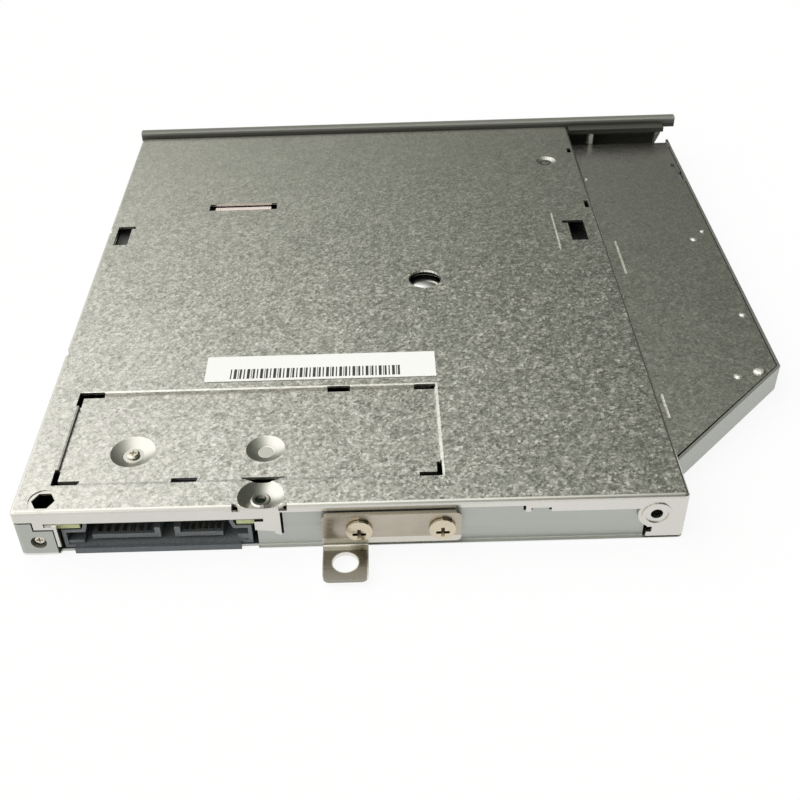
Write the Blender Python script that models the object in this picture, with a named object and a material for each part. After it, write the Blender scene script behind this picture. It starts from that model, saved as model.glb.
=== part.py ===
"""A slim internal disc drive, lying on its top cover with its underside up.

Lengths are written in millimetres and turned into metres as each mesh is made.
Drive coordinates: X runs from the left wall, Y from the rear face to the bezel,
Z from the top cover's outer face up to the underside.
"""
import math

import bmesh
import bpy
from mathutils import Matrix, Vector

MM = 0.001

# The case
BODY_WIDTH = 103.1
CASE_WIDTH = 128.0
CASE_DEPTH = 126.1
CASE_HEIGHT = 9.5
WING_HEIGHT = 5.5
CHAMFER_START = 10.4
SHEET = 0.5
BEND = 0.6
CASE_CORNER = 0.8
SHEET_GAP = 0.2
FIT = 0.3
PLAY = 0.15
WING_FRONT_SETBACK = 2.4
OVERCUT = 1.0

# The bezel
BEZEL_OVERHANG_LEFT = 0.2
BEZEL_OVERHANG_RIGHT = 1.3
BEZEL_LOW = 0.2
BEZEL_HIGH = 10.8
BEZEL_DEPTH = 2.9
BEZEL_FACE = 1.5
BEZEL_STEP_HEIGHT = 8.4
BEZEL_STEP_LEFT = 0.8
BEZEL_STEP_RIGHT = 126.5
BEZEL_RIBS = (18.0, 38.0, 58.0, 109.0)
BEZEL_RIB = 0.9
BEZEL_LEDGE = (103.5, 126.2, 8.3, 9.4)

# The rear bracket and its screws
BRACKET_LEFT = 47.3
BRACKET_RIGHT = 68.6
BRACKET_LOW = 2.0
BRACKET_HIGH = 8.0
BRACKET_SHEET = 0.7
BRACKET_BEND = 1.1
TAB_WIDTH = 7.0
TAB_LENGTH = 7.9
TAB_LOW = 1.0
TAB_CORNER = 1.1
TAB_HOLE_RADIUS = 2.0
TAB_HOLE_SETBACK = 3.4
BRACKET_SCREWS_X = (53.0, 65.7)
BRACKET_SCREW_Z = 5.0
SCREW_SHANK_RADIUS = 0.95

# The disc, the tray and its travel
SPINDLE = (65.8, 60.9)
DISC_WELL_RADIUS = 61.0
SMALL_WELL_RADIUS = 41.0
TRAY_LEFT = 3.7
TRAY_RIGHT = 124.9
TRAY_REAR = 9.6
TRAY_FRONT = 125.9
TRAY_BED = 1.5
SMALL_WELL_DEPTH = 0.4
TRAY_EDGE_WALL = 1.9
TRAY_EDGE_HEIGHT = 6.8
TRAY_EDGE_REAR = 30.0
FRONT_WALL = 1.7
FRONT_WALL_HIGH = 8.4

# Rails and the guides that hold them
RAIL_REAR = 6.0
RAIL_FRONT = 121.0
GUIDE_REAR = 62.0
GUIDE_FRONT = 124.5
LEFT_GUIDE_LOW = 2.0
LEFT_GUIDE_HIGH = 7.0
LEFT_GUIDE_SHEET = 0.4
RIGHT_GUIDE_LOW = 2.95
RIGHT_GUIDE_SHEET = 0.25
RAIL_SHEET = 0.28
RAIL_LEG = 1.5

# The traverse: its own axes run U from the spindle outward, V across
TRAVERSE_ANGLE = math.radians(135.0)
FRAME_INNER = -16.0
FRAME_OUTER = 66.0
FRAME_LEFT = -18.0
FRAME_RIGHT = 22.5
FRAME_LOW = 5.0
FRAME_SHEET = 0.6
FRAME_CORNER_CUT = (10.0, 8.5)
FRAME_FRONT_CUT = 3.0
FRAME_CORNER = 2.0
WINDOW_INNER = 12.0
WINDOW_OUTER = 61.2
WINDOW_LEFT = -16.6
WINDOW_RIGHT = 20.6
MOTOR_HOLE_RADIUS = 13.9
RING_GAP = 0.4
RING_WALL = 0.9
SHIELD_LOW = 7.9
SHIELD_SHEET = 0.2

# The pickup and what moves it
LENS_NEAR = 23.5
SLED_BACK = 11.0
SLED_FRONT = 3.9
SLED_HALF_WIDTH = 13.4
SLED_LOW = 4.3
SLED_HIGH = 7.3
SLED_MOTOR_CLEARANCE_RADIUS = 14.8
SHAFT_OFFSET = 14.9
SHAFT_RADIUS = 0.75
SHAFT_Z = 6.5
SHAFT_INNER = 9.3
SHAFT_OUTER = 63.7
HOLDER_LENGTH = 2.4
HOLDER_WIDTH = 2.8
HOLDER_HIGH = 7.65
EAR_WIDTH = 2.9
EAR_LOW = 5.1
EAR_HIGH = 7.7
LENS_RADIUS = 2.2
LENS_THICKNESS = 0.8
LENS_POCKET_RADIUS = 3.6
SCREW_OFFSET = 18.6
SCREW_Z = 6.3
SCREW_CREST_RADIUS = 0.9
SCREW_ROOT_RADIUS = 0.62
SCREW_PITCH = 3.0
SCREW_INNER = 12.2
SCREW_OUTER = 53.1
JOURNAL_RADIUS = 0.5
STEPPER_LENGTH = 7.4
STEPPER_RADIUS = 2.1
STEPPER_HALF_WIDTH = 1.7
STEPPER_HALF_HEIGHT = 1.35

# The spindle motor and hub
TURNTABLE_LOW = 2.6
TURNTABLE = 0.7
TURNTABLE_RADIUS = 13.2
ROTOR_RADIUS = 12.6
ROTOR_HIGH = 5.7
MOTOR_BASE_LOW = 5.9
MOTOR_BASE = 0.6
MOTOR_BASE_RADIUS = 14.2
MOTOR_CAP_RADIUS = 3.0
MOTOR_CAP_HIGH = 8.4
MOTOR_SHAFT_RADIUS = 1.0
HUB_RADIUS = 7.3
HUB_LOW = 1.0
HUB_BORE_RADIUS = 2.2
BALL_RADIUS = 0.5
BALL_RING_RADIUS = 6.1
BALL_COUNT = 3

# Rubber mounts of the traverse, in its own axes
DAMPERS = ((-12.0, -12.5), (63.7, 0.0), (1.5, 19.6))
DAMPER_RADIUS = 2.1
DAMPER_WAIST_RADIUS = 1.4
DAMPER_BORE_RADIUS = 0.85
DAMPER_LIP = 0.7
DAMPER_SCREW_RADIUS = 0.7

# The board, its connectors and ribbon
BOARD_LEFT = 4.8
BOARD_RIGHT = 66.0
BOARD_REAR = 0.95
BOARD_FRONT = 21.5
BOARD_LOW = 5.0
BOARD_SHEET = 0.8
SOCKET_REAR = 0.9
SOCKET_DEPTH = 7.7
SOCKET_WALL = 0.6
SOCKET_CAVITY_DEPTH = 6.0
SIGNAL_TONGUE = (11.3, 22.0)
POWER_TONGUE = (24.2, 31.7)
TONGUE_LOW = 2.1
TONGUE = 0.9
TONGUE_KEY_HEIGHT = 1.2
TONGUE_KEY_WIDTH = 0.9
SIGNAL_PITCH = 1.27
SIGNAL_COUNT = 7
POWER_PITCH = 1.0
POWER_COUNT = 6
CONTACT_WIDTH = 0.5
CONTACT_SHEET = 0.15
RIBBON_LEFT = 21.4
RIBBON_RIGHT = 33.7
RIBBON_SHEET = 0.15
RIBBON_HIGH_RUN = 8.7
RIBBON_LOW_RUN = 8.3
RIBBON_FOLD = 92.5
TRAY_BOARD = (11.0, 38.0, 22.2, 33.0)
TRAY_BOARD_LOW = 5.0

# The tray lock and the ejector
POST = (95.8, 108.3)
POST_RADIUS = 1.3
POST_TIP = 5.3
LATCH_PIVOT = (86.0, 113.3)
LATCH_LOW = 5.0
LATCH_HIGH = 6.6
LATCH_ARM = 1.6
LATCH_SWING = math.radians(22.0)
LATCH_EYE_RADIUS = 2.2
LATCH_PIN_RADIUS = 0.9
MAGNET = (71.5, 80.6, 115.5, 121.8, 5.0, 8.2)
PUSHER_X = 97.0
PUSHER_Z = 3.9
PUSHER_RADIUS = 0.7
PUSHER_BLOCK = (94.6, 99.4, 1.6, 7.6, 1.9, 5.9)
PUSHER_BORE_RADIUS = 1.7
SPRING_RADIUS = 1.2
SPRING_WIRE_RADIUS = 0.2
SPRING_TURNS = 6

# The front controls
BUTTON = (86.5, 97.5, 4.4, 7.4)
BUTTON_PROUD = 0.35
BUTTON_STROKE = 0.6
BUTTON_LIP = 0.5
BUTTON_STEM = (90.6, 93.4, 6.3, 7.6)
LIGHT_PIPE = (81.2, 83.2, 5.4, 6.6)
ESCAPE_HOLE = (78.0, 6.0)
ESCAPE_HOLE_RADIUS = 0.7
FRONT_BOARD = (82.3, 101.0, 117.2, 123.8)
FRONT_BOARD_LOW = 5.2
FRONT_BOARD_SHEET = 0.6
SWITCH = (89.4, 94.6, 120.4, 123.4)
SWITCH_HIGH = 8.0

# Pressed and pierced details of the underside
PANEL = (5.6, 65.9, 6.1, 28.1)
PANEL_DEPTH = 0.45
PANEL_CORNER = 0.6
DIMPLES = ((16.6, 13.6, 3.65, 1.7), (38.0, 13.5, 3.15, 1.3))
DIMPLE_FLOOR = 8.2
DIMPLE_SHEET = 0.45
LEFT_WINDOW = ((1.8, 4.7, 76.8, 84.1), (4.6, 5.4, 83.2, 84.1))
RIGHT_WINDOW = ((96.6, 99.9, 73.6, 81.5), (95.5, 96.7, 80.5, 81.5))
WINDOW_LIP = 0.45
WINDOW_LIP_DROP = 1.6
RIBBON_SLOT = (20.3, 35.0, 89.9, 92.6)
SPINDLE_HOLE_RADIUS = 3.15
EDGE_SLOTS = ((101.3, 102.2, 86.7, 89.6), (101.3, 102.2, 112.2, 114.3))
LANCES = (
    (5.1, 9.4, 27.4, 28.4), (5.1, 5.9, 25.0, 28.4),
    (5.1, 5.9, 5.8, 9.3), (5.1, 9.3, 5.8, 7.1),
    (62.4, 66.1, 27.4, 28.3),
    (65.3, 66.1, 5.8, 9.3), (62.5, 66.1, 5.8, 7.1),
    (47.6, 51.5, 27.4, 28.4),
    (23.7, 27.8, 5.8, 7.2),
)
DISH = (38.1, 2.3)
DISH_HOLE = (38.1, 1.9)
DISH_HOLE_RADIUS = 0.9
HEX_HOLE = (4.7, 2.6)
HEX_ACROSS = 3.2
HEX_RING_RADIUS = 2.3
BOSS = (98.4, 5.7)
BOSS_RADIUS = 2.3
BOSS_PROUD = 0.2
BOSS_HOLE_RADIUS = 0.95
SIDE_NOTCHES = (40.5, 83.0)
SIDE_NOTCH_LENGTH = 2.2
CORNER_SCREW = (3.3, 3.0)
CORNER_HOLE_RADIUS = 1.25
WING_RIDGES = ((106.5, 107.1, 66.4, 78.9), (105.2, 105.8, 22.1, 28.4))
WING_RIVET = (123.9, 34.1)
LABEL = (26.2, 66.4, 30.3, 37.3)
LABEL_SHEET = 0.1

# Edges, slots and small pieces of the rear
CORNER_WRAP = 2.2
REAR_WALL_HIGH = 7.9
SIDE_WALL_HIGH = 7.3
INNER_WALL_SHEET = 0.45
REAR_WALL_CORNER_HIGH = 7.05
REAR_WALL_STEP = (2.85, 5.4)
REAR_WALL_GAP = (5.9, 37.2)
REAR_WALL_SETBACK = 0.9
REAR_WALL_DIP = ((37.2, 4.2), (39.7, 3.8), (39.7, 3.4), (41.3, 2.9))
REAR_WALL_LOW_FROM = 78.1
REAR_WALL_LOW = 6.6
REAR_WALL_TAB = (79.5, 82.0, 7.4)
REAR_WALL_END = 96.9
FLANGE_EDGE = (
    (-1.0, 7.3), (3.1, 7.3), (3.1, 5.7), (6.1, 5.7), (6.1, 1.9), (6.6, 1.9), (6.6, 6.9),
    (37.0, 6.9), (37.0, 4.5), (40.0, 4.1), (40.0, 3.7), (41.0, 3.2), (41.0, 8.2),
    (78.4, 8.2), (78.4, 6.9), (97.2, 6.9), (97.2, 0.9), (104.5, 0.9),
)
FLANGE_SLOTS = (
    (4.7, 6.7, 6.2, 6.95), (36.9, 38.4, 6.3, 6.95), (79.2, 82.3, 6.8, 7.7), (97.1, 98.0, 1.8, 2.9),
)
BOSS_PLATE_RADIUS = 2.85
BOSS_RIM = 0.5
BRACKET_CORNER = 0.8
BRACKET_SCREW = (2.05, 1.0, 0.95, 2.5, 1.15)
CORNER_SCREW_SIZES = (1.0, 0.5, 0.7, 3.0, 0.62)
BOARD_SCREW_SIZES = (1.05, 0.45, 0.6, 2.6, 0.7)
SCREW_SEAT = 0.1
BOARD_STEP = (38.3, 39.6, 2.3)
BOARD_NOTCH = (9.9, 34.1, 8.9)
BOARD_HOLE_RADIUS = 0.9
PART_SEAT = 0.1
CHIPS = (
    ("controller_chip", (44.0, 56.0, 8.0, 20.0), 1.1),
    ("memory_chip", (60.0, 64.5, 9.0, 16.0), 0.9),
    ("driver_chip", (6.3, 11.8, 11.5, 18.5), 1.0),
)
CHIP_CORNER = 0.3
CHIP_SWELL = 0.1
CONNECTOR = (1.2, 4.0, 1.1)
CONNECTOR_MOUTH = (2.8, 0.35, 0.8)
CONNECTOR_LEVEL = 0.58
BOARD_CONNECTOR_FRONT = 18.0
TRAY_CONNECTOR_FRONT = 26.5
SOCKET_OUTLINE = (
    (6.9, 0.8), (36.3, 0.8), (36.3, 4.7), (33.9, 4.7), (33.6, 5.6), (33.6, 7.6),
    (10.4, 7.6), (10.4, 5.6), (10.1, 4.7), (6.9, 4.7),
)
SOCKET_LIP = ((0.1, 0.2), (0.6, 0.2), (0.6, 0.85), (1.3, 0.85), (1.3, 1.3), (0.1, 1.3))
SOCKET_LIP_ENDS = (8.5, 34.5)
SOCKET_LUGS = ((7.2, 10.0, 2.2), (34.0, 36.0, 2.6))
TONGUE_SETBACK = 0.5
CONTACT_GAP = 0.1
CONTACT_REACH = (0.9, 5.3)
CONTACT_COMB = (4.8, 5.7, 0.4)
DISH_PROFILE = ((3.6, 0.0), (3.1, 0.28), (2.3, 0.46), (1.4, 0.52))
DISH_SLIT = ((34.6, 6.9), (35.6, 5.9), (36.9, 5.4), (39.3, 5.4), (40.6, 5.9), (41.6, 6.9))
WINDOW_LIP_GAP = 1.2
DISH_GAPS = (
    ((33.8, -1.0), (35.4, -1.0), (35.0, 0.35), (33.8, 0.9)),
    ((40.6, -1.0), (42.2, -1.0), (42.2, 0.7), (41.0, 0.3)),
)
DISH_GAP_LOW = 8.5
DISH_RING = (1.6, 1.3, 0.25)
SIDE_NOTCH_LOW = 7.6
PLATE_RIDGE = (93.6, 94.0, 70.2, 84.6)
RIDGE_HEIGHT = 0.2
WING_DOTS = ((123.1, 79.0), (125.8, 82.1), (105.1, 106.4), (125.7, 51.4), (119.7, 32.8))
WING_DOT = (0.7, 0.22)
WING_SLOTS = ((125.7, 126.7, 105.0, 112.8), (126.6, 128.5, 105.0, 108.8))

# Levels that follow from the sizes above
CASE_INNER_HIGH = CASE_HEIGHT - SHEET
WING_INNER_HIGH = WING_HEIGHT - SHEET
TRAY_LOW = SHEET + FIT
TRAY_HIGH = WING_INNER_HIGH - FIT
BED_LOW = TRAY_HIGH - TRAY_BED
FRAME_HIGH = FRAME_LOW + FRAME_SHEET
INNER_WALL = SHEET + SHEET_GAP
BOARD_HIGH = BOARD_LOW + BOARD_SHEET
BEZEL_BACK = CASE_DEPTH + FIT
BEZEL_FRONT = BEZEL_BACK + BEZEL_DEPTH
BRACKET_BACK = -SHEET_GAP
BRACKET_FACE = BRACKET_BACK - BRACKET_SHEET
TAB_END = -TAB_LENGTH
CENTRE_X = (CASE_WIDTH + BEZEL_OVERHANG_RIGHT - BEZEL_OVERHANG_LEFT) / 2
CENTRE_Y = (BEZEL_FRONT + BUTTON_PROUD + TAB_END) / 2

# Materials: colour, roughness, metallic
FINISHES = {
    "galvanised": ((0.42, 0.42, 0.38, 1), 0.42, 1.0),
    "plain_steel": ((0.50, 0.51, 0.51, 1), 0.35, 1.0),
    "bright_steel": ((0.72, 0.71, 0.68, 1), 0.22, 1.0),
    "nickel": ((0.66, 0.60, 0.52, 1), 0.25, 1.0),
    "brass": ((0.72, 0.58, 0.30, 1), 0.30, 1.0),
    "copper": ((0.60, 0.30, 0.16, 1), 0.35, 1.0),
    "gold": ((0.83, 0.63, 0.25, 1), 0.28, 1.0),
    "zinc": ((0.55, 0.56, 0.57, 1), 0.40, 1.0),
    "black_plastic": ((0.02, 0.021, 0.023, 1), 0.50, 0.0),
    "slate_plastic": ((0.028, 0.034, 0.042, 1), 0.42, 0.0),
    "bezel_plastic": ((0.085, 0.082, 0.072, 1), 0.45, 0.0),
    "white_plastic": ((0.72, 0.71, 0.68, 1), 0.45, 0.0),
    "clear_plastic": ((0.75, 0.80, 0.82, 1), 0.12, 0.0),
    "rubber": ((0.03, 0.03, 0.03, 1), 0.85, 0.0),
    "board": ((0.16, 0.30, 0.10, 1), 0.45, 0.0),
    "ribbon": ((0.74, 0.62, 0.57, 1), 0.45, 0.0),
    "lens": ((0.10, 0.14, 0.32, 1), 0.05, 0.0),
    "paper": ((0.83, 0.83, 0.82, 1), 0.70, 0.0),
}


def clear_scene():
    """Take every object and mesh out of the scene."""
    for thing in list(bpy.data.objects):
        bpy.data.objects.remove(thing, do_unlink=True)
    for mesh in list(bpy.data.meshes):
        bpy.data.meshes.remove(mesh)


def finish(name):
    """The material of a finish, made once."""
    found = bpy.data.materials.get(name)
    if found:
        return found
    colour, roughness, metallic = FINISHES[name]
    made = bpy.data.materials.new(name)
    made.use_nodes = True
    shader = made.node_tree.nodes["Principled BSDF"]
    shader.inputs["Base Color"].default_value = colour
    shader.inputs["Roughness"].default_value = roughness
    shader.inputs["Metallic"].default_value = metallic
    made.diffuse_color = colour
    return made


# Outlines: lists of (a, b) points, counter-clockwise

def rectangle(a0, a1, b0, b1):
    """A rectangle's corners."""
    return [(a0, b0), (a1, b0), (a1, b1), (a0, b1)]


def circle(centre, radius, steps=20):
    """A circle as a polygon whose corners lie on it."""
    turn = 2 * math.pi / steps
    return [
        (centre[0] + radius * math.cos(turn * i), centre[1] + radius * math.sin(turn * i))
        for i in range(steps)
    ]


def rounded(points, radius, steps=3):
    """The outline with each corner turned into an arc."""
    out = []
    for i, corner in enumerate(points):
        here = Vector(corner)
        before = (Vector(points[i - 1]) - here)
        after = (Vector(points[(i + 1) % len(points)]) - here)
        half = before.angle(after) / 2
        if half > math.radians(88.0):
            out.append(corner)
            continue
        reach = min(radius / math.tan(half), before.length * 0.45, after.length * 0.45)
        arc_radius = reach * math.tan(half)
        start = here + before.normalized() * reach
        end = here + after.normalized() * reach
        middle = here + (before.normalized() + after.normalized()).normalized() * (
            arc_radius / math.sin(half)
        )
        first = start - middle
        sweep = first.angle_signed(end - middle)
        for step in range(steps + 1):
            angle = -sweep * step / steps
            turned = Matrix.Rotation(angle, 2) @ first
            out.append(tuple(middle + turned))
    return out


def offset(points, distance):
    """The outline moved outward by a distance, with mitred corners."""
    out = []
    count = len(points)
    for i, corner in enumerate(points):
        here = Vector(corner)
        into = (here - Vector(points[i - 1])).normalized()
        away = (Vector(points[(i + 1) % count]) - here).normalized()
        normal_in = Vector((into.y, -into.x))
        normal_out = Vector((away.y, -away.x))
        mitre = normal_in + normal_out
        mitre = mitre / mitre.dot(normal_in)
        out.append(tuple(here + mitre * distance))
    return out


def band(path, width):
    """A strip of even width along an open path, as an outline."""
    left, right = [], []
    last = len(path) - 1
    for i, corner in enumerate(path):
        here = Vector(corner)
        into = (here - Vector(path[i - 1])).normalized() if i else None
        away = (Vector(path[i + 1]) - here).normalized() if i < last else None
        into = into or away
        away = away or into
        normal = Vector((into.y, -into.x))
        mitre = normal + Vector((away.y, -away.x))
        mitre = mitre / mitre.dot(normal) * (width / 2)
        right.append(tuple(here + mitre))
        left.append(tuple(here - mitre))
    return right + left[::-1]


def traverse(points):
    """Points given along and across the pickup's travel, in drive coordinates."""
    along = (math.cos(TRAVERSE_ANGLE), math.sin(TRAVERSE_ANGLE))
    across = (math.sin(TRAVERSE_ANGLE), -math.cos(TRAVERSE_ANGLE))
    return [
        (
            SPINDLE[0] + u * along[0] + v * across[0],
            SPINDLE[1] + u * along[1] + v * across[1],
        )
        for u, v in points
    ]


def traverse_outline(points):
    """A counter-clockwise outline from points along and across the travel."""
    return traverse(points)[::-1]


# Solids

def make(name, bm):
    """An object from a bmesh in millimetres, with its faces out."""
    bmesh.ops.recalc_face_normals(bm, faces=bm.faces)
    bmesh.ops.scale(bm, vec=(MM, MM, MM), verts=bm.verts)
    mesh = bpy.data.meshes.new(name)
    bm.to_mesh(mesh)
    bm.free()
    thing = bpy.data.objects.new(name, mesh)
    bpy.context.scene.collection.objects.link(thing)
    return thing


def loft(rings, name="piece"):
    """A closed solid through rings of equally many points, capped at both ends."""
    bm = bmesh.new()
    rows = [[bm.verts.new(point) for point in ring] for ring in rings]
    for low, high in zip(rows, rows[1:]):
        for i in range(len(low)):
            j = (i + 1) % len(low)
            bm.faces.new((low[i], low[j], high[j], high[i]))
    bm.faces.new(rows[0][::-1])
    bm.faces.new(rows[-1])
    return make(name, bm)


def prism(outline, low, high, axis="Z", name="piece"):
    """An outline pushed from low to high. Its plane is XY, XZ for Y, or YZ for X."""
    place = {
        "Z": lambda a, b, h: (a, b, h),
        "Y": lambda a, b, h: (a, h, b),
        "X": lambda a, b, h: (h, a, b),
    }[axis]
    return loft([[place(a, b, h) for a, b in outline] for h in (low, high)], name)


def block(x0, x1, y0, y1, z0, z1, name="piece"):
    """A rectangular block."""
    return prism(rectangle(x0, x1, y0, y1), z0, z1, "Z", name)


def turned(profile, centre, axis="Z", steps=18, name="piece"):
    """A solid turned from (radius, height) points that start and end on the axis."""
    bm = bmesh.new()
    verts = [bm.verts.new((r, 0.0, h)) for r, h in profile]
    edges = [bm.edges.new(pair) for pair in zip(verts, verts[1:])]
    bmesh.ops.spin(
        bm, geom=verts + edges, cent=(0, 0, 0), axis=(0, 0, 1), dvec=(0, 0, 0),
        angle=2 * math.pi, steps=steps, use_merge=True,
    )
    bmesh.ops.remove_doubles(bm, verts=bm.verts, dist=1e-4)
    bmesh.ops.dissolve_degenerate(bm, dist=1e-5, edges=bm.edges)
    turn = {
        "Z": Matrix.Identity(4),
        "Y": Matrix.Rotation(math.radians(-90), 4, "X"),
        "X": Matrix.Rotation(math.radians(90), 4, "Y"),
    }[axis]
    bmesh.ops.transform(bm, matrix=Matrix.Translation(Vector(centre)) @ turn, verts=bm.verts)
    return make(name, bm)


def rod(radius, low, high, centre, axis="Z", steps=16, name="piece"):
    """A plain cylinder."""
    return turned([(0, low), (radius, low), (radius, high), (0, high)], centre, axis, steps, name)


def along_traverse(radius, inner, outer, v, z, steps=16, name="piece"):
    """A cylinder that lies along the pickup's travel."""
    thing = rod(radius, inner, outer, (0, 0, 0), "X", steps, name)
    return lay_on_traverse(thing, v, z)


def lay_on_traverse(thing, v, z):
    """Turn a piece built along X so that it runs along the travel."""
    start = traverse([(0.0, v)])[0]
    turn = Matrix.Rotation(TRAVERSE_ANGLE, 4, "Z")
    shift = Matrix.Translation(Vector((start[0], start[1], z)) * MM)
    thing.data.transform(shift @ turn)
    return thing


def combine(target, others, operation):
    """Cut the others from a piece, or join them to it, and drop them."""
    for other in others:
        step = target.modifiers.new(operation, "BOOLEAN")
        step.operation = operation
        step.solver = "EXACT"
        step.object = other
    bpy.context.view_layer.update()
    seen = target.evaluated_get(bpy.context.evaluated_depsgraph_get())
    result = bpy.data.meshes.new_from_object(seen)
    target.modifiers.clear()
    old = target.data
    target.data = result
    bpy.data.meshes.remove(old)
    for other in others:
        used = other.data
        bpy.data.objects.remove(other, do_unlink=True)
        bpy.data.meshes.remove(used)
    return target


def cut(target, *cutters):
    """Cut pieces away."""
    return combine(target, cutters, "DIFFERENCE")


def join(target, *pieces):
    """Join pieces into one body."""
    return combine(target, pieces, "UNION")


class Frames:
    """The empties that carry the drive's moving groups."""

    def __init__(self):
        self.root = self.empty("drive", (0, 0, 0), None)
        self.root.location = (-CENTRE_X * MM, -CENTRE_Y * MM, 0)

    def empty(self, name, place, parent):
        """An empty at a place in drive coordinates."""
        thing = bpy.data.objects.new(name, None)
        bpy.context.scene.collection.objects.link(thing)
        thing.location = Vector(place) * MM
        thing.parent = parent
        return thing


def settle(thing, name, look, frames, origin=(0, 0, 0)):
    """Name a piece, give it its finish and origin, and hang it in the drive."""
    thing.name = name
    thing.data.name = name
    thing.data.materials.clear()
    thing.data.materials.append(finish(look))
    thing.data.transform(Matrix.Translation(Vector(origin) * -MM))
    thing.location = Vector(origin) * MM
    thing.parent = frames.root
    thing.data.shade_smooth()
    thing.data.set_sharp_from_angle(angle=math.radians(32))
    return thing


# The case

def case_outline():
    """The drive's outer outline seen from its underside."""
    wing_start = CHAMFER_START + CASE_WIDTH - BODY_WIDTH
    return [
        (0, 0), (BODY_WIDTH, 0), (BODY_WIDTH, CHAMFER_START),
        (CASE_WIDTH, wing_start), (CASE_WIDTH, CASE_DEPTH), (0, CASE_DEPTH),
    ]


def drawn_tub(outline, closed, rim, sheet, bend):
    """A tray of bent sheet: flat at the closed level, with walls up or down to the rim."""
    inward = 1 if rim > closed else -1
    steps = 3
    arc = [math.radians(90) * i / steps for i in range(steps + 1)]

    def skin(inset, radius, level):
        return [
            (inset + radius * (1 - math.sin(a)), level + inward * radius * (1 - math.cos(a)))
            for a in arc
        ]

    outer = skin(0.0, bend, closed)
    inner = skin(sheet, bend - sheet, closed + inward * sheet)
    levels = outer + [(0.0, rim), (sheet, rim)] + inner[::-1]
    rings = []
    for inset, level in levels:
        rings.append([(a, b, level) for a, b in offset(outline, -inset)])
    return loft(rings)


def top_cover(frames):
    """The plain cover that the drive lies on, with its bent-up walls."""
    outline = rounded(case_outline(), CASE_CORNER)
    cover = drawn_tub(outline, 0.0, WING_HEIGHT + 0.1, SHEET, BEND)
    front = CASE_DEPTH + OVERCUT
    trim = BEND + FIT
    cut(
        cover,
        block(-OVERCUT, trim, -OVERCUT, front, SHEET, CASE_HEIGHT),
        block(-OVERCUT, BODY_WIDTH + OVERCUT, -OVERCUT, trim, SHEET, CASE_HEIGHT),
        block(BODY_WIDTH - trim, BODY_WIDTH + OVERCUT, -OVERCUT, CHAMFER_START + trim, SHEET, CASE_HEIGHT),
        block(-OVERCUT, CASE_WIDTH + OVERCUT, CASE_DEPTH - trim, front, SHEET, CASE_HEIGHT),
        block(REAR_WALL_GAP[0] + FIT, REAR_WALL_GAP[1], -OVERCUT, REAR_WALL_SETBACK, -OVERCUT, CASE_HEIGHT),
    )
    inner = INNER_WALL + INNER_WALL_SHEET
    tab_left, tab_right, tab_high = REAR_WALL_TAB
    rear = [(REAR_WALL_GAP[1], SHEET / 2), (REAR_WALL_END, SHEET / 2), (REAR_WALL_END, REAR_WALL_LOW),
            (tab_right, REAR_WALL_LOW), (tab_right, tab_high), (tab_left, tab_high),
            (tab_left, REAR_WALL_LOW), (REAR_WALL_LOW_FROM, REAR_WALL_LOW),
            (REAR_WALL_LOW_FROM, REAR_WALL_HIGH), (REAR_WALL_DIP[-1][0], REAR_WALL_HIGH)]
    rear += list(REAR_WALL_DIP[::-1])
    wrap = inner + CORNER_WRAP
    side = block(INNER_WALL, inner, wrap, CASE_DEPTH - 2 * CASE_CORNER, SHEET / 2, SIDE_WALL_HIGH)
    curve = CASE_CORNER * 0.3
    plan = [(0, wrap), (0, CASE_CORNER), (curve, curve), (CASE_CORNER, 0), (REAR_WALL_GAP[0], 0),
            (REAR_WALL_GAP[0], SHEET), (SHEET, SHEET), (SHEET, CORNER_WRAP), (inner, CORNER_WRAP + INNER_WALL),
            (inner, wrap)]
    corner = prism(plan, SHEET / 2, REAR_WALL_CORNER_HIGH)
    step_x, step_z = REAR_WALL_STEP
    cut(corner, block(step_x, REAR_WALL_GAP[0] + 1, -OVERCUT, SHEET + OVERCUT, step_z, CASE_HEIGHT))
    boss = rod(CORNER_HOLE_RADIUS + SHEET, SHEET / 2, CORNER_SCREW_SIZES[3], (CORNER_SCREW[0], 0, CORNER_SCREW[1]), "Y", 20)
    join(cover, prism(rear, INNER_WALL, inner, "Y"), side, corner, boss)
    seat = SHEET + 0.6
    holes = [
        rod(CORNER_HOLE_RADIUS, -OVERCUT, seat, (CORNER_SCREW[0], 0, CORNER_SCREW[1]), "Y", 20),
        rod(CORNER_SCREW_SIZES[2] + PLAY, 0, 5, (CORNER_SCREW[0], 0, CORNER_SCREW[1]), "Y", 16),
    ]
    holes += [
        prism(circle((x, BRACKET_SCREW_Z), SCREW_SHANK_RADIUS + FIT, 16), 0, 3, "Y")
        for x in BRACKET_SCREWS_X
    ]
    cut(cover, *holes)
    return settle(cover, "top_cover", "plain_steel", frames)


def press_down(cover, outline, depth, sheet=SHEET, wall=0.25):
    """Sink a flat area of the underside, keeping the sheet's thickness."""
    floor = CASE_HEIGHT - depth
    join(cover, prism(offset(outline, wall), floor - sheet, CASE_INNER_HIGH + 0.2))
    cut(cover, prism(outline, floor, CASE_HEIGHT + OVERCUT))


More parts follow.
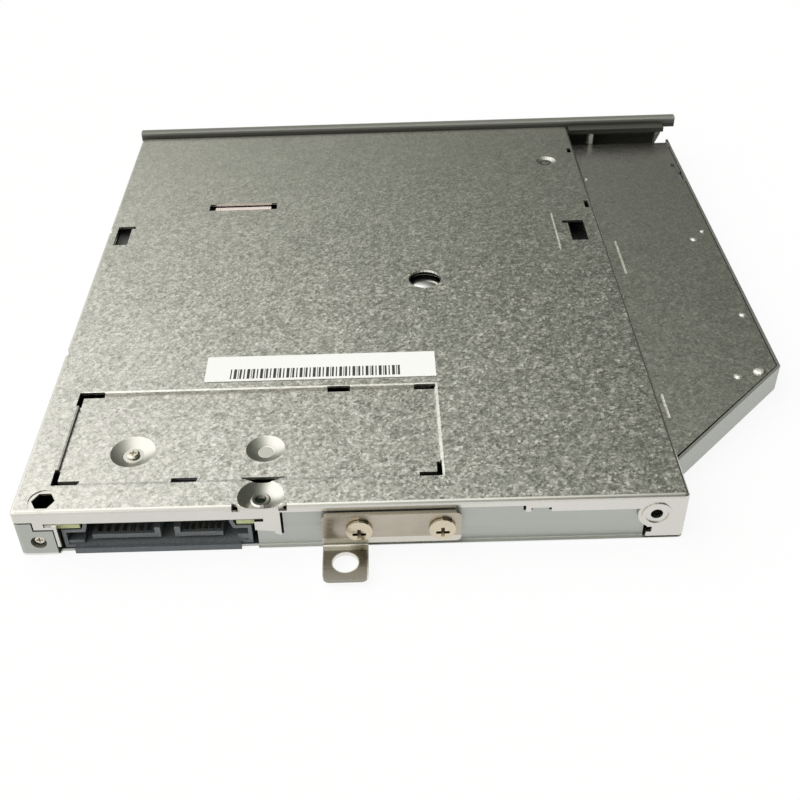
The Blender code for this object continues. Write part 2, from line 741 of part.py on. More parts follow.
def bottom_cover(frames):
    """The drive's underside: plate, bent walls, wing and pressed details."""
    body = rounded(rectangle(0, BODY_WIDTH, 0, CASE_DEPTH), CASE_CORNER)
    wall_low = SHEET + SHEET_GAP
    cover = drawn_tub(body, CASE_HEIGHT, wall_low, SHEET, BEND)
    wing_low = WING_INNER_HIGH
    edge = SHEET + SHEET_GAP
    slant = edge * math.sqrt(2)
    wing_front = CASE_DEPTH - WING_FRONT_SETBACK
    join_x = BODY_WIDTH - SHEET
    wing_rear = CHAMFER_START + edge * (math.sqrt(2) - 1) + 0.6
    side_end = CHAMFER_START - 0.6
    wing = [
        (join_x, wing_rear + slant - edge * 0.4),
        (join_x + 0.9, wing_rear + slant - edge * 0.4),
        (CASE_WIDTH - edge, CHAMFER_START + CASE_WIDTH - BODY_WIDTH - edge + slant),
        (CASE_WIDTH - edge, wing_front), (join_x, wing_front),
    ]
    front = CASE_DEPTH + OVERCUT
    below_flange = [(104.5, -1.0), (-1.0, -1.0)][::-1] + list(FLANGE_EDGE)[::-1]
    cut(
        cover,
        block(-OVERCUT, BODY_WIDTH + OVERCUT, CASE_DEPTH - BEND, front, 0, CASE_INNER_HIGH),
        block(join_x - 1.2, BODY_WIDTH + OVERCUT, side_end, front, 0, wing_low + 0.1),
        block(-OVERCUT, INNER_WALL, -OVERCUT, CORNER_WRAP + 2 * INNER_WALL, 0, FLANGE_EDGE[0][1]),
        prism(below_flange, -OVERCUT, SHEET + 0.15, "Y"),
    )
    join(cover, prism(wing, wing_low, WING_HEIGHT))
    panel = rounded(rectangle(*PANEL), PANEL_CORNER, 2)
    press_down(cover, panel, PANEL_DEPTH)
    for x, y, outer, inner in DIMPLES:
        floor = DIMPLE_FLOOR
        rim = CASE_HEIGHT - PANEL_DEPTH
        under = floor - DIMPLE_SHEET
        join(cover, turned(
            [(0, under), (inner + 0.25, under), (outer + 0.35, rim - 0.25), (0, rim - 0.25)],
            (x, y, 0)))
        cut(cover, turned(
            [(0, floor), (inner, floor), (outer, rim + 0.01), (outer, CASE_HEIGHT), (0, CASE_HEIGHT)],
            (x, y, 0)))
    for window, side in ((LEFT_WINDOW[0], 1), (RIGHT_WINDOW[0], -1)):
        edge_x = window[1] if side > 0 else window[0]
        lip = sorted((edge_x, edge_x + side * WINDOW_LIP))
        join(cover, block(lip[0], lip[1], window[2] + WINDOW_LIP_GAP, window[3] - WINDOW_LIP_GAP,
                          CASE_INNER_HIGH - WINDOW_LIP_DROP, CASE_INNER_HIGH + 0.2))
    floor = CASE_HEIGHT - DISH_PROFILE[-1][1]
    bowl = turned(
        [(0, floor - 0.45), (2.6, floor - 0.45), (3.5, CASE_INNER_HIGH - 0.15), (3.5, CASE_INNER_HIGH + 0.1),
         (0, CASE_INNER_HIGH + 0.1)], (*DISH, 0), steps=20)
    cut(bowl, block(DISH[0] - 5, DISH[0] + 5, -5, 0.1, 0, 12))
    join(cover, bowl)
    cut(cover, turned(
        [(0, floor)] + [(radius, CASE_HEIGHT - depth) for radius, depth in DISH_PROFILE[::-1]]
        + [(DISH_PROFILE[0][0], CASE_HEIGHT + OVERCUT), (0, CASE_HEIGHT + OVERCUT)], (*DISH, 0), steps=24))
    ring_base, ring_top, ring_high = DISH_RING
    ring = turned(
        [(0, floor - 0.3), (ring_base, floor - 0.3), (ring_base, floor - 0.01), (ring_top, floor + ring_high),
         (0, floor + ring_high)], (*DISH_HOLE, 0), steps=16)
    plate = rod(BOSS_PLATE_RADIUS, 0.01, SHEET - 0.01, (BOSS[0], 0, BOSS[1]), "Y", 24)
    boss = rod(BOSS_RADIUS, -BOSS_PROUD, SHEET / 2, (BOSS[0], 0, BOSS[1]), "Y", 24)
    join(cover, plate)
    ridges = [
        block(x0, x1, y0, y1, WING_HEIGHT - 0.1, WING_HEIGHT + RIDGE_HEIGHT)
        for x0, x1, y0, y1 in WING_RIDGES
    ]
    x0, x1, y0, y1 = PLATE_RIDGE
    ridges.append(block(x0, x1, y0, y1, CASE_HEIGHT - 0.1, CASE_HEIGHT + RIDGE_HEIGHT / 2))
    dot_radius, dot_high = WING_DOT
    ridges += [
        turned([(0, WING_HEIGHT - 0.1), (dot_radius, WING_HEIGHT - 0.1), (dot_radius * 0.7, WING_HEIGHT + dot_high * 0.7),
                (0, WING_HEIGHT + dot_high)], (*dot, 0), steps=10)
        for dot in WING_DOTS
    ]
    rivet = turned(
        [(0, WING_HEIGHT - 0.2), (1.1, WING_HEIGHT - 0.2), (1.1, WING_HEIGHT + 0.15),
         (0.7, WING_HEIGHT + 0.35), (0, WING_HEIGHT + 0.4)], (*WING_RIVET, 0), steps=12)
    join(cover, ring, boss, rivet, *ridges)
    high = CASE_HEIGHT + OVERCUT
    low = CASE_INNER_HIGH - 1.0
    holes = [block(*spot, low, high) for spot in (*LEFT_WINDOW, *RIGHT_WINDOW, RIBBON_SLOT, *EDGE_SLOTS)]
    holes += [block(*leg, low, high) for leg in LANCES]
    holes.append(prism(circle(SPINDLE, SPINDLE_HOLE_RADIUS, 28), low, high))
    holes.append(prism(DISH_SLIT, low, high))
    holes += [prism(gap, DISH_GAP_LOW, high) for gap in DISH_GAPS]
    holes.append(prism(circle(DISH_HOLE, DISH_HOLE_RADIUS, 14), low - 1, high))
    holes.append(rod(1.0, 0, 12, (DIMPLES[0][0], DIMPLES[0][1], 0), steps=14))
    holes.append(prism(circle(HEX_HOLE, HEX_ACROSS / math.sqrt(3), 6), low, high))
    holes.append(rod(BOSS_RADIUS - BOSS_RIM, -1, 0.0, (BOSS[0], 0, BOSS[1]), "Y", 20))
    holes.append(rod(BOSS_HOLE_RADIUS, -1, 2, (BOSS[0], 0, BOSS[1]), "Y", 16))
    holes += [block(x0, x1, -1, SHEET + 0.15, z0, z1) for x0, x1, z0, z1 in FLANGE_SLOTS]
    holes += [block(*slot, WING_INNER_HIGH - 1, WING_HEIGHT + 1) for slot in WING_SLOTS]
    holes += [
        block(-1, SHEET + 0.1, y - SIDE_NOTCH_LENGTH / 2, y + SIDE_NOTCH_LENGTH / 2, SIDE_NOTCH_LOW, high)
        for y in SIDE_NOTCHES
    ]
    countersink = turned(
        [(0, CASE_INNER_HIGH - 0.5), (1.25, CASE_INNER_HIGH - 0.5), (1.25, CASE_INNER_HIGH + 0.15),
         (2.3, CASE_HEIGHT + 0.01), (2.3, high), (0, high)], (*POST, 0), steps=20)
    cut(cover, countersink, *holes)
    hex_ring = turned(
        [(0, CASE_HEIGHT - 0.15), (HEX_RING_RADIUS, CASE_HEIGHT - 0.15), (HEX_RING_RADIUS, high), (0, high)],
        (*HEX_HOLE, 0), steps=20)
    cut(cover, hex_ring)
    return settle(cover, "bottom_cover", "galvanised", frames)


# Guides and rails

def channel(x_web, x_tip, low, high, sheet, rear, front):
    """A C-section that opens from its web towards its tip, along Y."""
    side = 1 if x_tip > x_web else -1
    outline = [
        (x_tip, low), (x_web, low), (x_web, high), (x_tip, high), (x_tip, high - sheet),
        (x_web + side * sheet, high - sheet), (x_web + side * sheet, low + sheet),
        (x_tip, low + sheet),
    ]
    return prism(outline, rear, front, "Y")


def left_guide_web():
    """Where the left guide's outer face stands."""
    return INNER_WALL + SHEET - 0.05 + SHEET_GAP


def guides_and_rails(frames):
    """The plastic guides fixed to the case and the steel rails that slide in them."""
    web = left_guide_web()
    tip = web + LEFT_GUIDE_SHEET + SHEET_GAP + RAIL_LEG
    guide = channel(web, tip, LEFT_GUIDE_LOW, LEFT_GUIDE_HIGH, LEFT_GUIDE_SHEET, GUIDE_REAR, GUIDE_FRONT)
    settle(guide, "left_guide", "black_plastic", frames)
    rail_web = web + LEFT_GUIDE_SHEET + SHEET_GAP
    step = LEFT_GUIDE_SHEET + SHEET_GAP
    rail = channel(rail_web, tip, LEFT_GUIDE_LOW + step, LEFT_GUIDE_HIGH - step, RAIL_SHEET,
                   RAIL_REAR, RAIL_FRONT)
    settle(rail, "left_rail", "bright_steel", frames, (rail_web, RAIL_REAR, LEFT_GUIDE_LOW))
    web = CASE_WIDTH - SHEET - SHEET_GAP
    tip = web - RIGHT_GUIDE_SHEET - PLAY - RAIL_LEG
    high = WING_INNER_HIGH - PLAY
    guide = channel(web, tip, RIGHT_GUIDE_LOW, high, RIGHT_GUIDE_SHEET, GUIDE_REAR, GUIDE_FRONT - 2)
    settle(guide, "right_guide", "black_plastic", frames)
    rail_web = web - RIGHT_GUIDE_SHEET - PLAY
    step = RIGHT_GUIDE_SHEET + PLAY
    rail = channel(rail_web, tip, RIGHT_GUIDE_LOW + step, high - step, RIGHT_GUIDE_SHEET,
                   RAIL_REAR + 32, RAIL_FRONT)
    settle(rail, "right_rail", "bright_steel", frames, (rail_web, RAIL_REAR, RIGHT_GUIDE_LOW))


# The tray

def ring_outline(gap):
    """The traverse frame's outline grown by a gap."""
    points = [
        (FRAME_INNER, FRAME_LEFT), (FRAME_OUTER, FRAME_LEFT),
        (FRAME_OUTER, FRAME_RIGHT - FRAME_FRONT_CUT), (FRAME_OUTER - FRAME_FRONT_CUT, FRAME_RIGHT),
        (FRAME_INNER + FRAME_CORNER_CUT[0], FRAME_RIGHT),
        (FRAME_INNER, FRAME_RIGHT - FRAME_CORNER_CUT[1]),
    ]
    return rounded(traverse_outline(offset(points, gap)), FRAME_CORNER)


def pickup_window(gap):
    """The opening that the pickup and its screw travel in."""
    return traverse_outline(rectangle(WINDOW_INNER - gap, WINDOW_OUTER + gap,
                                      WINDOW_LEFT - gap, WINDOW_RIGHT + gap))


def latch_points(spots):
    """Latch points moved from the locked to the released position."""
    turn = Matrix.Rotation(-LATCH_SWING, 2)
    pivot = Vector(LATCH_PIVOT)
    return [tuple(pivot + turn @ (Vector(spot) - pivot)) for spot in spots]


def tray(frames):
    """The moulded tray: disc wells on one side, the mechanism's bay on the other."""
    slant = CASE_WIDTH - BODY_WIDTH
    inside = 1.2 * math.sqrt(2) + SHEET
    rear_right = CHAMFER_START + slant - (CASE_WIDTH - TRAY_RIGHT) + inside
    corner_x = BODY_WIDTH - CHAMFER_START - inside + TRAY_REAR
    outline = [
        (TRAY_LEFT + 6, TRAY_REAR), (corner_x, TRAY_REAR), (TRAY_RIGHT, rear_right),
        (TRAY_RIGHT, TRAY_FRONT), (TRAY_LEFT, TRAY_FRONT), (TRAY_LEFT, TRAY_REAR + 6),
    ]
    body = prism(rounded(outline, 1.5), TRAY_LOW, TRAY_HIGH)
    ring = prism(ring_outline(RING_GAP + RING_WALL), TRAY_HIGH - 0.3, SHIELD_LOW - SHEET_GAP)
    edge = block(TRAY_LEFT + 0.05, TRAY_LEFT + TRAY_EDGE_WALL, TRAY_EDGE_REAR, TRAY_FRONT - 0.5,
                 TRAY_HIGH - 0.5, TRAY_EDGE_HEIGHT)
    front = block(TRAY_LEFT + 1.0, BODY_WIDTH - SHEET - 0.6, TRAY_FRONT - FRONT_WALL, TRAY_FRONT - 0.1,
                  TRAY_HIGH - 0.4, FRONT_WALL_HIGH)
    left_low = LEFT_GUIDE_LOW + LEFT_GUIDE_SHEET + SHEET_GAP + RAIL_SHEET + SHEET_GAP
    left_high = LEFT_GUIDE_LOW + LEFT_GUIDE_HIGH - left_low
    left_tip = left_guide_web() + LEFT_GUIDE_SHEET + RAIL_SHEET + SHEET_GAP + PLAY
    left_tongue = block(left_tip, TRAY_LEFT + 0.8, TRAY_EDGE_REAR, CASE_DEPTH - 6, left_low, left_high)
    right_low = RIGHT_GUIDE_LOW + 2 * RIGHT_GUIDE_SHEET + 2 * PLAY
    right_high = WING_INNER_HIGH - 3 * PLAY - 2 * RIGHT_GUIDE_SHEET
    right_tip = CASE_WIDTH - SHEET - SHEET_GAP - 2 * RIGHT_GUIDE_SHEET - 2 * PLAY - 0.1
    right_tongue = block(TRAY_RIGHT - 1, right_tip, rear_right + 4, CASE_DEPTH - 6, right_low, right_high)
    join(body, ring, edge, front, left_tongue, right_tongue)
    pin = rod(LATCH_PIN_RADIUS, TRAY_HIGH - 0.5, LATCH_HIGH + 0.5, (*LATCH_PIVOT, 0))
    join(body, pin)
    well = prism(circle(SPINDLE, DISC_WELL_RADIUS, 96), 0, BED_LOW)
    small_well = prism(circle(SPINDLE, SMALL_WELL_RADIUS, 72), 0, BED_LOW + SMALL_WELL_DEPTH)
    bay = prism(ring_outline(RING_GAP), TRAY_HIGH, CASE_HEIGHT)
    window = prism(pickup_window(0.6), 0, TRAY_HIGH + 0.5)
    motor_hole = prism(circle(SPINDLE, MOTOR_HOLE_RADIUS + 0.8, 40), 0, TRAY_HIGH + 0.5)
    cut(body, well, bay)
    cut(body, small_well, window, motor_hole)
    damper_holes = [
        rod(DAMPER_SCREW_RADIUS + PLAY, 0, TRAY_HIGH + 1, (*spot, 0), steps=12)
        for spot in traverse(DAMPERS)
    ]
    stem = block(BUTTON_STEM[0] - FIT, BUTTON_STEM[1] + FIT, TRAY_FRONT - 3, TRAY_FRONT + 1,
                 BUTTON_STEM[2] - FIT, BUTTON_STEM[3] + FIT)
    pipe = block(LIGHT_PIPE[0] - FIT, LIGHT_PIPE[1] + FIT, TRAY_FRONT - 3, TRAY_FRONT + 1,
                 LIGHT_PIPE[2] - FIT, LIGHT_PIPE[3] + FIT)
    escape = rod(ESCAPE_HOLE_RADIUS, TRAY_FRONT - 3, TRAY_FRONT + 1, (ESCAPE_HOLE[0], 0, ESCAPE_HOLE[1]),
                 "Y", 12)
    cut(body, stem, pipe, escape, *damper_holes)
    return settle(body, "tray", "black_plastic", frames, (0, 0, 0))


def front_bezel(frames):
    """The moulded front with its stepped ends, pockets behind it and control openings."""
    back, front = BEZEL_BACK, BEZEL_FRONT
    profile = [
        (back, BEZEL_LOW), (front - 0.9, BEZEL_LOW), (front - 0.3, BEZEL_LOW + 0.4), (front, BEZEL_LOW + 1.6),
        (front, BEZEL_HIGH - 2.2), (front - 0.25, BEZEL_HIGH - 0.9), (front - 0.8, BEZEL_HIGH - 0.15),
        (front - 1.3, BEZEL_HIGH), (back + 0.25, BEZEL_HIGH), (back, BEZEL_HIGH - 0.25),
    ]
    left, right = -BEZEL_OVERHANG_LEFT, CASE_WIDTH + BEZEL_OVERHANG_RIGHT
    body = prism(profile, left, right, "X")
    step = BEZEL_STEP_HEIGHT
    far = front + OVERCUT
    left_end = [(left - 1, -1), (BEZEL_STEP_LEFT + 1.0, -1), (BEZEL_STEP_LEFT + 0.3, 2.5),
                (BEZEL_STEP_LEFT, step), (left - 1, step)]
    right_end = [(right + 1, -1), (right + 1, step), (BEZEL_STEP_RIGHT, step),
                 (BEZEL_STEP_RIGHT - 0.3, step - 1.8), (BEZEL_STEP_RIGHT - 1.3, step - 4.2),
                 (BEZEL_STEP_RIGHT - 1.6, -1)]
    corner = 1.2
    plan_left = [(left - 1, front - corner), (left, front - corner), (left + 0.35, front - 0.35),
                 (left + corner, front), (left + corner, far), (left - 1, far)]
    plan_right = [(right + 1, front - corner), (right + 1, far), (right - corner, far),
                  (right - corner, front), (right - 0.35, front - 0.35), (right, front - corner)]
    cut(body, prism(left_end, back - 1, far, "Y"), prism(right_end, back - 1, far, "Y"),
        prism(plan_left, -1, BEZEL_HIGH + 1), prism(plan_right, -1, BEZEL_HIGH + 1))
    ledge = block(BEZEL_LEDGE[0], BEZEL_LEDGE[1], CASE_DEPTH - 2.2, back + 0.5, BEZEL_LEDGE[2], BEZEL_LEDGE[3])
    rib = block(BEZEL_RIBS[-1] - BEZEL_RIB / 2, BEZEL_RIBS[-1] + BEZEL_RIB / 2, CASE_DEPTH - 2.0, back + 0.6,
                WING_HEIGHT - 0.2, BEZEL_LEDGE[2] + 0.4)
    join(body, ledge, rib)
    walls = [BEZEL_STEP_LEFT + 1.4] + list(BEZEL_RIBS) + [BEZEL_STEP_RIGHT - 1.0]
    pockets = []
    depth = front - BEZEL_FACE
    for start, end in zip(walls, walls[1:]):
        pocket_left, pocket_right = start + BEZEL_RIB / 2, end - BEZEL_RIB / 2
        pockets.append(block(pocket_left, pocket_right, back - 0.1, depth, BEZEL_LOW + 1.2, 8.2))
    hole = prism(rounded(rectangle(*BUTTON), 0.6), back - 1, far, "Y")
    pipe = block(LIGHT_PIPE[0] - PLAY, LIGHT_PIPE[1] + PLAY, back - 1, far, LIGHT_PIPE[2] - PLAY,
                 LIGHT_PIPE[3] + PLAY)
    escape = rod(ESCAPE_HOLE_RADIUS, back - 1, far, (ESCAPE_HOLE[0], 0, ESCAPE_HOLE[1]), "Y", 14)
    cut(body, hole, pipe, escape, *pockets)
    return settle(body, "front_bezel", "bezel_plastic", frames)


def front_controls(frames):
    """The eject button, its switch on the front board, and the light pipe."""
    depth = BEZEL_FRONT - BEZEL_FACE
    cap_outline = rounded(offset(rectangle(*BUTTON), -PLAY), 0.5)
    lip_front = depth - FIT
    lip_back = lip_front - 0.6
    face = BEZEL_FRONT + BUTTON_PROUD
    rings = [
        [(a, lip_front - 0.3, b) for a, b in cap_outline],
        [(a, face - 0.3, b) for a, b in cap_outline],
        [(a, face, b) for a, b in offset(cap_outline, -0.35)],
    ]
    cap = loft(rings)
    lip = prism(rounded(offset(rectangle(*BUTTON), BUTTON_LIP), 0.6), lip_back, lip_front, "Y")
    stem = block(BUTTON_STEM[0], BUTTON_STEM[1], SWITCH[3] + FIT + BUTTON_STROKE, lip_back + 0.3,
                 BUTTON_STEM[2], BUTTON_STEM[3])
    button = join(cap, lip, stem)
    middle = (BUTTON[0] + BUTTON[1]) / 2
    settle(button, "eject_button", "bezel_plastic", frames, (middle, face, (BUTTON[2] + BUTTON[3]) / 2))
    board = prism(rounded(rectangle(*FRONT_BOARD), 0.8), FRONT_BOARD_LOW, FRONT_BOARD_LOW + FRONT_BOARD_SHEET)
    settle(board, "front_board", "board", frames)
    low = FRONT_BOARD_LOW + FRONT_BOARD_SHEET + 0.1
    case = block(SWITCH[0], SWITCH[1], SWITCH[2], SWITCH[3] - 0.7, low, SWITCH_HIGH)
    key = block(BUTTON_STEM[0] + 0.5, BUTTON_STEM[1] - 0.5, SWITCH[3] - 1, SWITCH[3] - 0.1,
                BUTTON_STEM[2] + 0.2, BUTTON_STEM[3] - 0.2)
    settle(join(case, key), "eject_switch", "white_plastic", frames)
    pipe = block(LIGHT_PIPE[0], LIGHT_PIPE[1], FRONT_BOARD[3] + FIT, BEZEL_FRONT + 0.1, LIGHT_PIPE[2],
                 LIGHT_PIPE[3])
    settle(pipe, "light_pipe", "clear_plastic", frames)


# The traverse

def traverse_frame(frames):
    """The pressed frame that carries the motor, shafts and pickup."""
    base = prism(ring_outline(0.0), FRAME_LOW, FRAME_HIGH)
    holders = []
    for v in (-SHAFT_OFFSET, SHAFT_OFFSET):
        for inner, outer in ((SHAFT_INNER - 0.3, SHAFT_INNER - 0.3 + HOLDER_LENGTH),
                             (SHAFT_OUTER + 0.3 - HOLDER_LENGTH, SHAFT_OUTER + 0.3)):
            outline = traverse_outline(rectangle(inner, outer, v - HOLDER_WIDTH / 2, v + HOLDER_WIDTH / 2))
            holders.append(prism(outline, FRAME_LOW + 0.1, HOLDER_HIGH))
    bearing = traverse_outline(rectangle(SCREW_INNER - 3.2, SCREW_INNER - 0.5, SCREW_OFFSET - 1.3,
                                         SCREW_OFFSET + 1.3))
    stand = traverse_outline(rectangle(WINDOW_OUTER + 0.2, WINDOW_OUTER + 2.4, SCREW_OFFSET - 1.8,
                                       SCREW_OFFSET + 2.4))
    join(base, *holders, prism(bearing, FRAME_LOW + 0.1, HOLDER_HIGH - 0.2),
         prism(stand, FRAME_LOW + 0.1, HOLDER_HIGH - 0.1))
    window = prism(pickup_window(0.0), FRAME_LOW - 1, CASE_HEIGHT)
    motor_hole = prism(circle(SPINDLE, MOTOR_HOLE_RADIUS, 36), FRAME_LOW - 1, MOTOR_BASE_LOW)
    bores = [
        along_traverse(SHAFT_RADIUS + PLAY, SHAFT_INNER, SHAFT_OUTER, v, SHAFT_Z)
        for v in (-SHAFT_OFFSET, SHAFT_OFFSET)
    ]
    bores.append(along_traverse(JOURNAL_RADIUS + PLAY, SCREW_INNER - 2.6, SCREW_INNER + 1, SCREW_OFFSET,
                                SCREW_Z, 12))
    damper_holes = [
        rod(DAMPER_WAIST_RADIUS + PLAY, 0, FRAME_HIGH + 1, (*spot, 0), steps=16)
        for spot in traverse(DAMPERS)
    ]
    cut(base, window, motor_hole, *bores, *damper_holes)
    return settle(base, "traverse_frame", "plain_steel", frames)


def spindle_motor(frames):
    """The motor's base with its cap, and the turning rotor, hub and balls."""
    high = MOTOR_BASE_LOW + MOTOR_BASE
    base = rod(MOTOR_BASE_RADIUS, MOTOR_BASE_LOW, high, (*SPINDLE, 0), steps=32)
    ear = prism(traverse_outline(rectangle(FRAME_INNER + 1, -5, -8.5, 11.5)), MOTOR_BASE_LOW, high)
    cap = turned(
        [(0, high - 0.3), (MOTOR_CAP_RADIUS + 1.2, high - 0.3), (MOTOR_CAP_RADIUS + 1.2, high + 0.7),
         (MOTOR_CAP_RADIUS, high + 0.9), (MOTOR_CAP_RADIUS, MOTOR_CAP_HIGH - 0.5),
         (MOTOR_CAP_RADIUS - 0.4, MOTOR_CAP_HIGH), (0, MOTOR_CAP_HIGH)],
        (*SPINDLE, 0), steps=20)
    join(base, ear, cap)
    bore = rod(MOTOR_SHAFT_RADIUS + PLAY, MOTOR_BASE_LOW - 1, high + 0.4, (*SPINDLE, 0), steps=20)
    cut(base, bore)
    settle(base, "motor_base", "bright_steel", frames)
    disc_seat = TURNTABLE_LOW
    rotor = turned(
        [(0, HUB_LOW + 0.9), (HUB_BORE_RADIUS - PLAY, HUB_LOW + 0.9), (HUB_BORE_RADIUS - PLAY, disc_seat),
         (TURNTABLE_RADIUS, disc_seat), (TURNTABLE_RADIUS, disc_seat + TURNTABLE),
         (ROTOR_RADIUS, disc_seat + TURNTABLE), (ROTOR_RADIUS, ROTOR_HIGH),
         (ROTOR_RADIUS - 0.6, ROTOR_HIGH), (ROTOR_RADIUS - 0.6, disc_seat + TURNTABLE + 0.5),
         (MOTOR_SHAFT_RADIUS, disc_seat + TURNTABLE + 0.5), (MOTOR_SHAFT_RADIUS, high), (0, high)],
        (*SPINDLE, 0), steps=32)
    settle(rotor, "spindle_rotor", "bright_steel", frames, (*SPINDLE, disc_seat))
    hub = turned(
        [(HUB_BORE_RADIUS, HUB_LOW), (HUB_RADIUS - 0.5, HUB_LOW), (HUB_RADIUS, HUB_LOW + 0.5),
         (HUB_RADIUS, disc_seat - 0.1), (HUB_BORE_RADIUS, disc_seat - 0.1), (HUB_BORE_RADIUS, HUB_LOW)],
        (*SPINDLE, 0), steps=24)
    pockets = []
    spots = circle(SPINDLE, BALL_RING_RADIUS, BALL_COUNT)
    middle = disc_seat - 0.1 - BALL_RADIUS
    reach = BALL_RADIUS + PLAY
    for spot in spots:
        pockets.append(rod(reach, HUB_LOW + 0.25, disc_seat + 1, (*spot, 0), steps=12))
    cut(hub, *pockets)
    settle(hub, "hub_clamp", "slate_plastic", frames, (*SPINDLE, disc_seat))
    for number, spot in enumerate(spots, 1):
        arc = [(BALL_RADIUS * math.sin(math.radians(36 * i)), -BALL_RADIUS * math.cos(math.radians(36 * i)))
               for i in range(6)]
        arc[0], arc[-1] = (0, -BALL_RADIUS), (0, BALL_RADIUS)
        ball = turned(arc, (*spot, middle), steps=10)
        settle(ball, f"clamp_ball_{number}", "bright_steel", frames, (*SPINDLE, disc_seat))


def helical_screw():
    """The lead screw: a threaded stretch between plain journals, along X."""
    sides = 8
    per_turn = 4
    length = SCREW_OUTER - SCREW_INNER
    count = int(length / SCREW_PITCH * per_turn)
    rings = [[(SCREW_INNER - 2.3, JOURNAL_RADIUS * math.cos(a), JOURNAL_RADIUS * math.sin(a))
              for a in [2 * math.pi * i / sides for i in range(sides)]]]
    rings.append([(SCREW_INNER, y, z) for _, y, z in rings[0]])
    for step in range(count + 1):
        x = SCREW_INNER + length * step / count
        ring = []
        for i in range(sides):
            angle = 2 * math.pi * i / sides
            phase = (x / SCREW_PITCH - i / sides) % 1.0
            ridge = max(0.0, 1 - abs(phase - 0.5) * 4)
            radius = SCREW_ROOT_RADIUS + (SCREW_CREST_RADIUS - SCREW_ROOT_RADIUS) * ridge
            ring.append((x, radius * math.cos(angle), radius * math.sin(angle)))
        rings.append(ring)
    return loft(rings)


def pickup(frames):
    """The sled, its lens, and the shafts, screw and stepper that carry and drive it."""
    back, front = LENS_NEAR - SLED_BACK, LENS_NEAR + SLED_FRONT
    half = SLED_HALF_WIDTH
    outline = [(back, -half), (front - 2, -half), (front, -half + 3), (front, half - 3),
               (front - 2, half), (back, half)]
    sled = prism(traverse_outline(outline), SLED_LOW, SLED_HIGH)
    ears = []
    for side in (-1, 1):
        near, far = sorted((side * (half - 0.6), side * (SHAFT_OFFSET + EAR_WIDTH / 2)))
        ears.append(prism(traverse_outline(rectangle(back + 0.6, front - 2.6, near, far)), EAR_LOW, EAR_HIGH))
    nut_low, nut_high = SCREW_Z - 0.5, SCREW_Z + 0.5
    nut_tip = SCREW_OFFSET - SCREW_CREST_RADIUS - PLAY
    nut = prism(traverse_outline(rectangle(back + 1.2, back + 6.2, SHAFT_OFFSET, nut_tip)), nut_low, nut_high)
    join(sled, *ears, nut)
    clear = prism(circle(SPINDLE, SLED_MOTOR_CLEARANCE_RADIUS, 56), 0, CASE_HEIGHT)
    bores = [
        along_traverse(SHAFT_RADIUS + PLAY, back - 3, front + 3, v, SHAFT_Z)
        for v in (-SHAFT_OFFSET, SHAFT_OFFSET)
    ]
    lens_spot = traverse([(LENS_NEAR, 0)])[0]
    pocket = rod(LENS_POCKET_RADIUS, 0, SLED_LOW + 0.9, (*lens_spot, 0), steps=28)
    slots = [
        prism(traverse_outline(rectangle(LENS_NEAR - 4.5, LENS_NEAR + 2.0, v - 1.6, v + 1.6)),
              SLED_HIGH - 0.9, SLED_HIGH + 1)
        for v in (-8.0, 8.0)
    ]
    cut(sled, clear, pocket, *bores, *slots)
    settle(sled, "pickup_sled", "zinc", frames, (*lens_spot, SLED_LOW))
    lens = turned(
        [(0, SLED_LOW - 0.45), (LENS_RADIUS * 0.5, SLED_LOW - 0.35), (LENS_RADIUS * 0.85, SLED_LOW - 0.05),
         (LENS_RADIUS, SLED_LOW + 0.25), (LENS_RADIUS, SLED_LOW + LENS_THICKNESS - 0.1),
         (0, SLED_LOW + LENS_THICKNESS - 0.1)], (*lens_spot, 0), steps=24)
    settle(lens, "pickup_lens", "lens", frames, (*lens_spot, SLED_LOW))
    for name, v in (("left_shaft", -SHAFT_OFFSET), ("right_shaft", SHAFT_OFFSET)):
        shaft = along_traverse(SHAFT_RADIUS, SHAFT_INNER + 0.3, SHAFT_OUTER - 0.3, v, SHAFT_Z)
        settle(shaft, name, "bright_steel", frames)
    screw_axis = (*traverse([(SCREW_INNER, SCREW_OFFSET)])[0], SCREW_Z)
    screw = lay_on_traverse(helical_screw(), SCREW_OFFSET, SCREW_Z)
    settle(screw, "lead_screw", "brass", frames, screw_axis)
    section = []
    for i in range(24):
        angle = 2 * math.pi * i / 24
        y = max(-STEPPER_HALF_WIDTH, min(STEPPER_HALF_WIDTH, STEPPER_RADIUS * math.cos(angle)))
        z = max(-STEPPER_HALF_HEIGHT, min(STEPPER_HALF_HEIGHT, STEPPER_RADIUS * math.sin(angle)))
        section.append((y, z))
    start = SCREW_OUTER + FIT
    stepper = prism(section, start, start + STEPPER_LENGTH, "X")
    lay_on_traverse(stepper, SCREW_OFFSET, SCREW_Z)
    settle(stepper, "sled_motor", "bright_steel", frames)


